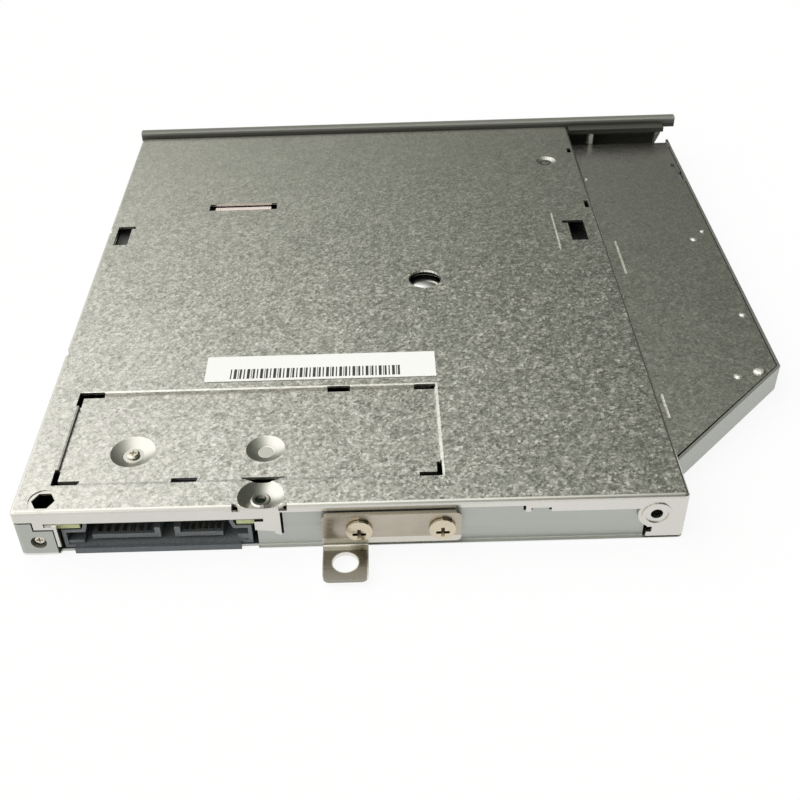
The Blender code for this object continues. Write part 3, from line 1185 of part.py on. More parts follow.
def dampers(frames):
    """The rubber mounts and shoulder screws that hold the traverse in the tray."""
    for number, spot in enumerate(traverse(DAMPERS), 1):
        low = TRAY_HIGH + 0.05
        groove_low = FRAME_LOW - 0.05
        groove_high = FRAME_HIGH + 0.05
        top = groove_high + DAMPER_LIP
        grommet = turned(
            [(DAMPER_BORE_RADIUS, low), (DAMPER_RADIUS, low), (DAMPER_RADIUS, groove_low),
             (DAMPER_WAIST_RADIUS, groove_low), (DAMPER_WAIST_RADIUS, groove_high),
             (DAMPER_RADIUS, groove_high), (DAMPER_RADIUS - 0.3, top), (DAMPER_BORE_RADIUS, top),
             (DAMPER_BORE_RADIUS, low)], (*spot, 0), steps=14)
        settle(grommet, f"damper_{number}", "rubber", frames)
        head = top + 0.1
        screw = turned(
            [(0, TRAY_HIGH - 1.0), (DAMPER_SCREW_RADIUS, TRAY_HIGH - 1.0), (DAMPER_SCREW_RADIUS, head),
             (DAMPER_RADIUS - 0.2, head), (DAMPER_RADIUS - 0.2, head + 0.5), (0, head + 0.7)],
            (*spot, 0), steps=14)
        settle(screw, f"damper_screw_{number}", "bright_steel", frames)


def tray_shield(frames):
    """The thin steel sheet over the traverse."""
    sheet = prism(ring_outline(RING_GAP + RING_WALL - 0.1), SHIELD_LOW, SHIELD_LOW + SHIELD_SHEET)
    hole = rod(MOTOR_CAP_RADIUS + 0.8, 0, 12, (*SPINDLE, 0), steps=28)
    vents = [
        prism(rounded(traverse_outline(rectangle(u, u + 5.0, -9.0, 9.0)), 1.0), SHIELD_LOW - 1, SHIELD_LOW + 1)
        for u in (20.0, 32.0, 44.0)
    ]
    cut(sheet, hole, *vents)
    settle(sheet, "tray_shield", "plain_steel", frames)


# The boards

def sata_socket(frames):
    """The slim socket: a shell with two keyed tongues, and its contacts."""
    rear, depth = SOCKET_REAR, SOCKET_REAR + SOCKET_DEPTH
    shell = prism(SOCKET_OUTLINE, rear, depth, "Y")
    join(shell, prism(SOCKET_LIP, *SOCKET_LIP_ENDS, "X"))
    cut(shell, prism(offset(SOCKET_OUTLINE, -SOCKET_WALL), rear - 1, rear + SOCKET_CAVITY_DEPTH, "Y"))
    back = rear + SOCKET_CAVITY_DEPTH + 0.5
    front = rear + TONGUE_SETBACK
    pieces = []
    for (left, right), key_left in ((SIGNAL_TONGUE, SIGNAL_TONGUE[1] - TONGUE_KEY_WIDTH),
                                    (POWER_TONGUE, POWER_TONGUE[0])):
        pieces.append(block(left, right, front, back, TONGUE_LOW, TONGUE_LOW + TONGUE))
        pieces.append(block(key_left, key_left + TONGUE_KEY_WIDTH, front, back, TONGUE_LOW + TONGUE - 0.2,
                            TONGUE_LOW + TONGUE + TONGUE_KEY_HEIGHT))
    base = SOCKET_OUTLINE[0][1] + SOCKET_WALL / 2
    for left, right, high in SOCKET_LUGS:
        pieces.append(block(left, right, rear + 0.2, back, base, high))
    join(shell, *pieces)
    settle(shell, "sata_socket", "slate_plastic", frames)
    reach_start, reach_end = CONTACT_REACH
    comb_start, comb_end, comb_side = CONTACT_COMB
    for name, (left, right), pitch, count, key_side in (
        ("signal_contacts", SIGNAL_TONGUE, SIGNAL_PITCH, SIGNAL_COUNT, -1),
        ("power_contacts", POWER_TONGUE, POWER_PITCH, POWER_COUNT, 1),
    ):
        low = TONGUE_LOW + TONGUE + CONTACT_GAP
        middle = (left + right + key_side * TONGUE_KEY_WIDTH) / 2
        start = middle - pitch * (count - 1) / 2
        comb = block(start - comb_side, start + pitch * (count - 1) + comb_side, rear + comb_start, rear + comb_end,
                     low, low + CONTACT_SHEET)
        fingers = [
            block(start + pitch * i - CONTACT_WIDTH / 2, start + pitch * i + CONTACT_WIDTH / 2,
                  rear + reach_start, rear + reach_end, low, low + CONTACT_SHEET)
            for i in range(count)
        ]
        join(comb, *fingers)
        settle(comb, name, "gold", frames)


def boards(frames):
    """The main board with its chips, and the small board on the tray."""
    step_x, step_end, step_y = BOARD_STEP
    notch_left, notch_right, notch_y = BOARD_NOTCH
    outline = [
        (BOARD_LEFT, BOARD_REAR), (notch_left, BOARD_REAR), (notch_left, notch_y), (notch_right, notch_y),
        (notch_right, BOARD_REAR), (step_x, BOARD_REAR), (step_end, step_y + 3.4), (BOARD_RIGHT, step_y + 3.4),
        (BOARD_RIGHT, BOARD_FRONT), (BOARD_LEFT, BOARD_FRONT),
    ]
    board = prism(outline, BOARD_LOW, BOARD_HIGH)
    cut(board, rod(BOARD_HOLE_RADIUS, 0, 12, (DIMPLES[0][0], DIMPLES[0][1], 0), steps=14))
    settle(board, "main_board", "board", frames)
    base = BOARD_HIGH + PART_SEAT
    for name, place, height in CHIPS:
        outline = rounded(rectangle(*place), CHIP_CORNER, 2)
        rings = [[(a, b, base) for a, b in outline],
                 [(a, b, base + height / 2) for a, b in offset(outline, CHIP_SWELL)],
                 [(a, b, base + height) for a, b in outline]]
        settle(loft(rings), name, "black_plastic", frames)
    side, length, height = CONNECTOR
    mouth_depth, mouth_low, mouth_high = CONNECTOR_MOUTH
    small_high = TRAY_BOARD_LOW + FRONT_BOARD_SHEET
    for name, front, level in (("board_connector", BOARD_CONNECTOR_FRONT, base),
                               ("tray_connector", TRAY_CONNECTOR_FRONT, small_high + PART_SEAT)):
        holder = block(RIBBON_LEFT - side, RIBBON_RIGHT + side, front - length, front, level, level + height)
        mouth = block(RIBBON_LEFT - FIT, RIBBON_RIGHT + FIT, front - mouth_depth, front + 1, level + mouth_low,
                      level + mouth_high)
        settle(cut(holder, mouth), name, "white_plastic", frames)
    small = prism(rounded(rectangle(*TRAY_BOARD), 0.8), TRAY_BOARD_LOW, small_high)
    settle(small, "tray_board", "board", frames)


def ribbon_run(path, name, frames):
    """A stretch of the flat cable along a path of (y, z) points."""
    outline = band(path, RIBBON_SHEET)
    settle(prism(outline, RIBBON_LEFT, RIBBON_RIGHT, "X"), name, "ribbon", frames)


def smooth_step(start, end, steps=6):
    """Points of a soft S between two (y, z) points."""
    out = []
    for i in range(steps + 1):
        t = i / steps
        ease = t * t * (3 - 2 * t)
        out.append((start[0] + (end[0] - start[0]) * t, start[1] + (end[1] - start[1]) * ease))
    return out


def ribbon(frames):
    """The flat cable, drawn as its board run with the fold, and its tray run."""
    board_z = BOARD_HIGH + PART_SEAT + CONNECTOR_LEVEL
    high, low = RIBBON_HIGH_RUN, RIBBON_LOW_RUN
    middle = (high + low) / 2
    turn = (high - low) / 2
    path = [(BOARD_CONNECTOR_FRONT - 2.4, board_z)] + smooth_step((BOARD_CONNECTOR_FRONT + 1.6, board_z), (24.0, 8.15))
    path += smooth_step((29.0, 8.15), (33.5, high))
    path.append((RIBBON_FOLD - FIT, high))
    ribbon_run(path, "board_ribbon", frames)
    tray_z = TRAY_BOARD_LOW + FRONT_BOARD_SHEET + PART_SEAT + CONNECTOR_LEVEL
    path = [(TRAY_CONNECTOR_FRONT - 2.4, tray_z)] + smooth_step((TRAY_CONNECTOR_FRONT + 1.6, tray_z), (36.5, low))
    path += [
        (RIBBON_FOLD + turn * math.sin(math.radians(a)), middle - turn * math.cos(math.radians(a)))
        for a in range(0, 210, 30)
    ]
    ribbon_run(path, "tray_ribbon", frames)


# Lock, ejector and fasteners

def lock(frames):
    """The riveted post, the lever that hooks behind it, and the release magnet."""
    collar_low = CASE_INNER_HIGH - 0.7
    post = turned(
        [(0, POST_TIP), (POST_RADIUS - 0.3, POST_TIP), (POST_RADIUS, POST_TIP + 0.3),
         (POST_RADIUS, collar_low), (2.0, collar_low), (2.0, CASE_INNER_HIGH - 0.2),
         (1.05, CASE_INNER_HIGH - 0.2), (1.05, CASE_INNER_HIGH + 0.15), (0, CASE_INNER_HIGH + 0.2)],
        (*POST, 0), steps=20)
    settle(post, "latch_post", "bright_steel", frames)
    pivot = LATCH_PIVOT
    hook_y = POST[1] - POST_RADIUS - FIT - LATCH_ARM / 2 - 0.3
    hook = band([pivot, (pivot[0] + 6.0, pivot[1] - 3.8), (POST[0] - 3.2, hook_y),
                 (POST[0] + POST_RADIUS + 0.2, hook_y)], LATCH_ARM)
    armature = band([pivot, (pivot[0] - 3.5, pivot[1] - 1.4), (pivot[0] - 7.0, pivot[1] - 1.8)], LATCH_ARM)
    lever = rod(LATCH_EYE_RADIUS, LATCH_LOW, LATCH_HIGH, (*pivot, 0), steps=24)
    join(lever, prism(latch_points(hook), LATCH_LOW, LATCH_HIGH),
         prism(latch_points(armature), LATCH_LOW, LATCH_HIGH))
    cut(lever, rod(LATCH_PIN_RADIUS + PLAY, 0, 12, (*pivot, 0), steps=20))
    settle(lever, "latch_lever", "white_plastic", frames, (*pivot, LATCH_LOW))
    x0, x1, y0, y1, low, high = MAGNET
    yoke = block(x0, x1, y0 + 1.2, y1, low, high)
    hollow = block(x0 + 1.0, x1 - 1.0, y0, y1 - 1.2, low - 1, high + 1)
    core = block((x0 + x1) / 2 - 0.8, (x0 + x1) / 2 + 0.8, y0, y1 - 0.6, low + 0.8, high - 0.8)
    settle(join(cut(yoke, hollow), core), "magnet_yoke", "plain_steel", frames)
    coil = block((x0 + x1) / 2 - 2.6, (x0 + x1) / 2 + 2.6, y0 + 0.8, y1 - 1.8, low + 0.2, high - 0.2)
    bore = block((x0 + x1) / 2 - 1.0, (x0 + x1) / 2 + 1.0, y0 - 1, y1 + 1, low + 0.6, high - 0.6)
    settle(cut(coil, bore), "magnet_coil", "copper", frames)


def ejector(frames):
    """The spring pin behind the tray that starts it out."""
    x0, x1, y0, y1, low, high = PUSHER_BLOCK
    housing = block(x0, x1, y0, y1, low, high)
    centre = (PUSHER_X, 0, PUSHER_Z)
    cut(housing, rod(PUSHER_BORE_RADIUS, y0 + 0.8, y1 + 1, centre, "Y", 20),
        rod(PUSHER_RADIUS + PLAY, y0 - 1, y1 + 1, centre, "Y", 16))
    settle(housing, "pusher_housing", "black_plastic", frames)
    pin = turned(
        [(0, y0 + 0.1), (PUSHER_RADIUS, y0 + 0.1), (PUSHER_RADIUS, y1 - 0.6),
         (PUSHER_BORE_RADIUS - PLAY, y1 - 0.6), (PUSHER_BORE_RADIUS - PLAY, TRAY_REAR - FIT - 0.3),
         (PUSHER_BORE_RADIUS - PLAY - 0.3, TRAY_REAR - FIT), (0, TRAY_REAR - FIT)],
        centre, "Y", 18)
    settle(pin, "eject_pusher", "white_plastic", frames)
    start, end = y0 + 1.2, y1 - 0.9
    sides, around = 10, 5
    rings = []
    for step in range(SPRING_TURNS * sides + 1):
        angle = 2 * math.pi * step / sides
        y = start + (end - start) * step / (SPRING_TURNS * sides)
        ring = []
        for i in range(around):
            a = 2 * math.pi * i / around
            radius = SPRING_RADIUS + SPRING_WIRE_RADIUS * math.cos(a)
            ring.append((PUSHER_X + radius * math.cos(angle), y + SPRING_WIRE_RADIUS * math.sin(a),
                         PUSHER_Z + radius * math.sin(angle)))
        rings.append(ring)
    settle(loft(rings), "pusher_spring", "bright_steel", frames)


def cross_screw(head_radius, head, shank_radius, length, recess, centre, axis):
    """A cross-head screw whose head faces along minus its axis."""
    body = turned(
        [(0, -head), (head_radius * 0.72, -head), (head_radius, -head * 0.45), (head_radius, 0),
         (shank_radius, 0), (shank_radius, length - 0.4), (shank_radius - 0.35, length), (0, length)],
        (0, 0, 0), "Z", 16)
    arm = recess * 0.26
    for outline in (rectangle(-recess, recess, -arm, arm), rectangle(-arm, arm, -recess, recess)):
        slot = loft([[(a * 0.45, b * 0.45, -head + head * 0.95) for a, b in outline],
                     [(a, b, -head - 0.2) for a, b in outline]])
        cut(body, slot)
    turn = {"Y": Matrix.Rotation(math.radians(-90), 4, "X"), "down": Matrix.Rotation(math.pi, 4, "X")}[axis]
    body.data.transform(Matrix.Translation(Vector(centre) * MM) @ turn)
    return body


def rear_bracket(frames):
    """The bent mounting bracket, its two screws, and the case's other screws."""
    face, back = BRACKET_FACE, BRACKET_BACK
    plate = prism(rounded(rectangle(BRACKET_LEFT, BRACKET_RIGHT, BRACKET_LOW, BRACKET_HIGH), BRACKET_CORNER), face, back, "Y")
    outer, inner = BRACKET_BEND, BRACKET_BEND - BRACKET_SHEET
    centre = (face - inner, TAB_LOW + outer)
    arc = [math.radians(a) for a in (0, -22.5, -45, -67.5, -90)]
    section = [(back, BRACKET_LOW + 2), (face, BRACKET_LOW + 2)]
    section += [(centre[0] + inner * math.cos(a), centre[1] + inner * math.sin(a)) for a in arc]
    section += [(TAB_END, TAB_LOW + BRACKET_SHEET), (TAB_END, TAB_LOW)]
    section += [(centre[0] + outer * math.cos(a), centre[1] + outer * math.sin(a)) for a in arc[::-1]]
    tab = prism(section[::-1], BRACKET_LEFT, BRACKET_LEFT + TAB_WIDTH, "X")
    join(plate, tab)
    right = BRACKET_LEFT + TAB_WIDTH
    rounding = TAB_CORNER
    corners = []
    for x, side in ((BRACKET_LEFT, 1), (right, -1)):
        middle = (x + side * rounding, TAB_END + rounding)
        points = [(x - side, TAB_END - 1), (x - side, TAB_END + rounding)]
        points += [
            (middle[0] - side * rounding * math.cos(math.radians(a)), middle[1] - rounding * math.sin(math.radians(a)))
            for a in (0, 22.5, 45, 67.5, 90)
        ]
        points.append((middle[0], TAB_END - 1))
        corners.append(prism(points, 0, 3))
    spot = ((BRACKET_LEFT + right) / 2, TAB_END + TAB_HOLE_SETBACK)
    hole = rod(TAB_HOLE_RADIUS, 0, 3, (*spot, 0), steps=32)
    bores = [
        rod(SCREW_SHANK_RADIUS + PLAY, -3, 3, (x, 0, BRACKET_SCREW_Z), "Y", 20) for x in BRACKET_SCREWS_X
    ]
    cut(plate, hole, *bores, *corners)
    settle(plate, "rear_bracket", "nickel", frames)
    for number, x in enumerate(BRACKET_SCREWS_X, 1):
        screw = cross_screw(*BRACKET_SCREW, (x, face - SCREW_SEAT, BRACKET_SCREW_Z), "Y")
        settle(screw, f"bracket_screw_{number}", "nickel", frames)
    corner = cross_screw(*CORNER_SCREW_SIZES, (CORNER_SCREW[0], SHEET + 0.5, CORNER_SCREW[1]), "Y")
    settle(corner, "corner_screw", "bright_steel", frames)
    x, y = DIMPLES[0][:2]
    board_screw = cross_screw(*BOARD_SCREW_SIZES, (x, y, DIMPLE_FLOOR + SCREW_SEAT), "down")
    settle(board_screw, "board_screw", "brass", frames)
    low, high = BOARD_HIGH + PART_SEAT, DIMPLE_FLOOR - DIMPLE_SHEET - PART_SEAT
    bore = BOARD_HOLE_RADIUS
    nut = turned([(bore, low), (1.7, low), (1.7, high), (bore, high), (bore, low)], (x, y, 0), steps=18)
    settle(nut, "board_nut", "brass", frames)


def label(frames):
    """The blank paper label on the underside."""
    low = CASE_HEIGHT + 0.05
    settle(prism(rectangle(*LABEL), low, low + LABEL_SHEET), "label", "paper", frames)


def main():
    """Build the drive."""
    clear_scene()
    frames = Frames()
    top_cover(frames)
    bottom_cover(frames)
    guides_and_rails(frames)
    tray(frames)
    front_bezel(frames)
    front_controls(frames)
    traverse_frame(frames)
    spindle_motor(frames)
    pickup(frames)
    dampers(frames)
    tray_shield(frames)
    sata_socket(frames)
    boards(frames)
    ribbon(frames)
    lock(frames)
    ejector(frames)
    rear_bracket(frames)
    label(frames)


main()
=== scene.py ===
"""The looks of a slim internal disc drive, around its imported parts.

Sizes are in millimetres in the drive's own axes, as the parts are: X from the left wall,
Y from the rear face to the bezel, Z from the top cover that it lies on up to the underside.
"""
import math

import bmesh
import bpy
from mathutils import Matrix, Vector


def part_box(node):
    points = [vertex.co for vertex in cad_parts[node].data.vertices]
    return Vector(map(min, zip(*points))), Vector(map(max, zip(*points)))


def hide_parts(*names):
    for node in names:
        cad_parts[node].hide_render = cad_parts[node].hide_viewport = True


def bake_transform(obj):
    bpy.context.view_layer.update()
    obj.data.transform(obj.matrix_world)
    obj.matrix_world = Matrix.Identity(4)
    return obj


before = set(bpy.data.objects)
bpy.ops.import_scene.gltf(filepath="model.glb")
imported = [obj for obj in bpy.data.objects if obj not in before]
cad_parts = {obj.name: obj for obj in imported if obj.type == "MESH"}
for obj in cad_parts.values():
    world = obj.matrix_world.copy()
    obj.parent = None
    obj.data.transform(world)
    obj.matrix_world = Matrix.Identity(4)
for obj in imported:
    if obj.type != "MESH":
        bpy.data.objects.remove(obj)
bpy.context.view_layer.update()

MM = 0.001
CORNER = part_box("top_cover")[0]

# The camera, as the photograph was taken. Its nearest and farthest views are in metres
FOCAL_LENGTH = 48.25
SENSOR_WIDTH = 36.0
CAMERA_TARGET = (55.81, 46.02, 0.0)
CAMERA_DISTANCE = 203.55
CAMERA_AZIMUTH = math.radians(0.74)
CAMERA_ELEVATION = math.radians(37.98)
CAMERA_ROLL = math.radians(-2.07)
CAMERA_SHIFT = (0.0303, -0.0434)
CAMERA_NEAR = 0.005
CAMERA_FAR = 20.0

# How bright the surroundings are along a direction: level * e^(up * z - left * x), from a least to a most.
# Matt things take light up to the soft most, and metal mirrors it up to the other
SKY_LEVEL = 0.0345
SKY_LEFT = 3.50
SKY_UP = 4.02
SKY_LEAST = 0.08
SKY_MOST = 1.6
SKY_MOST_SOFT = 4.6
SKY_PALE = (1.0, 1.0, 0.975)
SKY_DEEP = (0.97, 1.03, 0.86)

# Smooth pressed places of the underside: x, y, radius
PRESSED = ((38.1, 2.3, 3.5), (95.8, 108.3, 2.4), (16.6, 13.6, 3.6), (38.0, 13.5, 3.1), (4.7, 2.6, 2.3))
# Hollows that take the light smoothly: x, y, radius, slope at the rim, slope to the right, floor.
# They are the dish, the right dimple and the left dimple. The motor's cap is the other way up
HOLLOWS = (
    (38.1, 2.3, 3.45, 0.75, 0.30, 0.0),
    (38.0, 13.5, 3.05, 0.42, 0.13, 8.25),
    (16.6, 13.6, 3.55, 0.42, 0.10, 8.25))
MOTOR_CAP = (65.8, 60.9, 3.1, -0.45, -0.05, 0.0)

# How softly a round place fades at its rim
RIM_SOFT = 0.15

# The galvanised sheet's crystals and finer crystals
CRYSTAL = 0.85
FINE_CRYSTAL = 0.40

# Painted highlights where ridges and dots catch the light: ridges as x0, x1, y0, y1 and dots as x, y,
# radius
GLINT_RIDGES = ((93.5, 93.85, 70.2, 84.6), (106.45, 106.8, 66.4, 78.9), (105.15, 105.5, 22.1, 28.4))
GLINT_DOTS = (
    (123.1, 79.0, 0.75), (125.8, 82.1, 0.4), (105.1, 106.4, 0.4), (125.7, 51.4, 0.65), (119.7, 32.8, 0.7),
    (123.9, 34.1, 0.8))

# The sunken panel, as x0, x1, y0, y1, the width of its edge lines, and where the wing's sheet starts
# Its far and right edge lines are painted highlights, and its near and left edge lines painted shade
PANEL = (5.3, 66.45, 5.6, 28.65)
PANEL_LINE = 0.50
WING_LEFT = 102.8

# The top cover's foot, folded at the rear and painted pale as a highlight: its height and how far it
# reaches in from the rear
FOOT_HIGH = 0.62
FOOT_REACH = 0.72

# The bracket's tab: where it starts, its hole as x, y, radius, its left, right and front edges, the
# lowest level of the front edge's shine, and the fold's reach and height
# The tab is painted in shade, and its edges, the rim round its hole and the fold get painted highlights
TAB_BACK = -1.6
TAB_HOLE = (50.8, -4.5, 2.13)
TAB_EDGES = (47.45, 54.05, -7.6)
TAB_SHINE_LOW = 2.3
TAB_FOLD = (-2.1, 3.2)

# The socket: where its cavity starts and its floor's height, below which its floor is painted paler as
# light.
# Its rear faces are a little paler above a level
CAVITY_START = 0.75
CAVITY_FLOOR = 2.0
PALE_REAR_LOW = 1.6

# The bezel: its upper roll, the line along its back, and the ledge and the pockets over the wing
# The roll and the back line carry painted highlights, the ledge's front painted shade, the pockets painted
# light
ROLL_LOW = 9.9
ROLL_HIGH = 10.8
BACK_LINE = (127.0, 126.4)
LEDGE_LEFT = 103.4
LEDGE_LOW = 8.25
LEDGE_HIGH = 9.42
POCKET_HIGH = 8.28
POCKET_DEPTH = 127.7

# The boards' tracks and bare margin, the field and pitch of the label's bars, and the coil's wire
TRACK_PITCH = 0.62
BARE_MARGIN = 2.4
BARS = (30.3, 60.2, 30.9, 33.6)
BARS_PITCH = 2.3
WIRE_PITCH = 0.16

# The bracket's screws, across and up, their heads' radius and slope at the rim, the cross's reach from
# the axis and how far back it starts
BRACKET_SCREWS = ((53.0, 5.0), (65.7, 5.0))
HEAD_RADIUS = 2.15
HEAD_SLOPE = 0.30
CROSS_REACH = 1.35
CROSS_DEPTH = -1.93

# The flat cable: its sides, its sheet, its fold as y, z, radius, how it leaves each board as (y, z),
# the steps of its straight run and the degrees round its bend
CABLE_LEFT = 21.5
CABLE_RIGHT = 33.6
CABLE_SHEET = 0.12
CABLE_TRACKS = 24
CABLE_FOLD = (92.2, 8.5, 0.26)
CABLE_UPPER = (
    (15.8, 6.48), (19.0, 6.48), (21.0, 7.0), (24.0, 8.15), (29.0, 8.15), (31.0, 8.5), (33.5, 8.76))
CABLE_LOWER = ((24.4, 6.28), (28.0, 6.28), (31.0, 7.0), (34.0, 7.75), (36.5, 7.95))
CABLE_STEPS = 60
CABLE_BEND = range(-75, 90, 15)

# The ejector's spring
SPRING_WIRE_RADIUS = 0.17
SPRING_TURNS = 6
SPRING_RADIUS = 1.2
SPRING_AXIS = (97.0, 3.9)
SPRING_START = 2.8
SPRING_END = 6.7
SPRING_STEPS = 24
SPRING_SIDES = 8

# The table in metres: its reach from the middle and how far it lies under the drive. The eye sees it
# as this much plain white, and the rest takes the shadow
TABLE_REACH = 3.0
TABLE_DROP = 0.00002
TABLE_WHITE = 0.90

SHARP_ANGLE = math.radians(35)


def place(x, y, z):
    """A point of the drive, in the frame's metres."""
    return Vector((CORNER.x + x * MM, CORNER.y + y * MM, z * MM))


# Shader nodes written as sums

class Reading:
    """A node's output that adds, multiplies and compares as a number does."""

    def __init__(self, nodes, socket):
        self.nodes = nodes
        self.socket = socket

    def maths(self, operation, *terms):
        """A Math node over these terms."""
        return self.nodes.node("ShaderNodeMath", {"operation": operation}, dict(enumerate(terms)))

    def __add__(self, other):
        return self.maths("ADD", self, other)

    def __sub__(self, other):
        return self.maths("SUBTRACT", self, other)

    def __rsub__(self, other):
        return self.maths("SUBTRACT", other, self)

    def __mul__(self, other):
        return self.maths("MULTIPLY", self, other)

    def __truediv__(self, other):
        return self.maths("DIVIDE", self, other)

    def __pow__(self, other):
        return self.maths("POWER", self, other)

    def __gt__(self, other):
        return self.maths("GREATER_THAN", self, other)

    def __lt__(self, other):
        return self.maths("LESS_THAN", self, other)

    __radd__ = __add__

    def wave(self, length):
        """A wave between 0 and 1 that repeats over a length."""
        return self.maths("SINE", self * (2 * math.pi / length)) * 0.5 + 0.5

    def teeth(self, pitch):
        """How far along each pitch the value stands, from 0 to 1."""
        return self.maths("FRACT", self / pitch)

    def spread(self, low, high, bottom=0.0, top=1.0):
        """The value carried from one range to another, and held at its ends."""
        return self.nodes.node(
            "ShaderNodeMapRange", {"clamp": True},
            {"Value": self, "From Min": low, "From Max": high, "To Min": bottom, "To Max": top})


class Nodes:
    """The nodes of a material or of the world."""

    def __init__(self, tree):
        self.tree = tree

    def feed(self, socket, value):
        """A socket gets a reading, a number or a colour."""
        if isinstance(value, Reading):
            self.tree.links.new(value.socket, socket)
        elif hasattr(value, "__len__") and len(value) == 3 and socket.type == "RGBA":
            socket.default_value = (*value, 1.0)
        else:
            socket.default_value = value

    def node(self, kind, settings=None, values=None, output=0):
        """A node with its settings and inputs, and its output as a reading."""
        made = self.tree.nodes.new(kind)
        for name, value in (settings or {}).items():
            setattr(made, name, value)
        for name, value in (values or {}).items():
            self.feed(made.inputs[name], value)
        return Reading(self, made.outputs[output])

    def vector(self, operation, *terms):
        """A Vector Math node over these terms."""
        return self.node("ShaderNodeVectorMath", {"operation": operation}, dict(enumerate(terms)))

    def scaled(self, way, share):
        """A vector times a number."""
        return self.node("ShaderNodeVectorMath", {"operation": "SCALE"}, {0: way, "Scale": share})

    def mix(self, share, first, second, way="MIX"):
        """Two colours mixed by a share."""
        made = self.tree.nodes.new("ShaderNodeMix")
        made.data_type = "RGBA"
        made.blend_type = way
        for number, value in ((0, share), (6, first), (7, second)):
            self.feed(made.inputs[number], value)
        return Reading(self, made.outputs[2])

    def tint(self, colour, light):
        """A colour made lighter or darker by a reading near 1."""
        return self.mix(1.0, colour, light, "MULTIPLY")

    def plain_rays(self):
        """1 for what the camera, metal or glass sees straight on, 0 for the light that falls on things."""
        camera, glossy, transmission = (
            self.node("ShaderNodeLightPath", output=f"Is {kind} Ray")
            for kind in ("Camera", "Glossy", "Transmission"))
        return (camera + glossy + transmission).spread(0.0, 1.0)


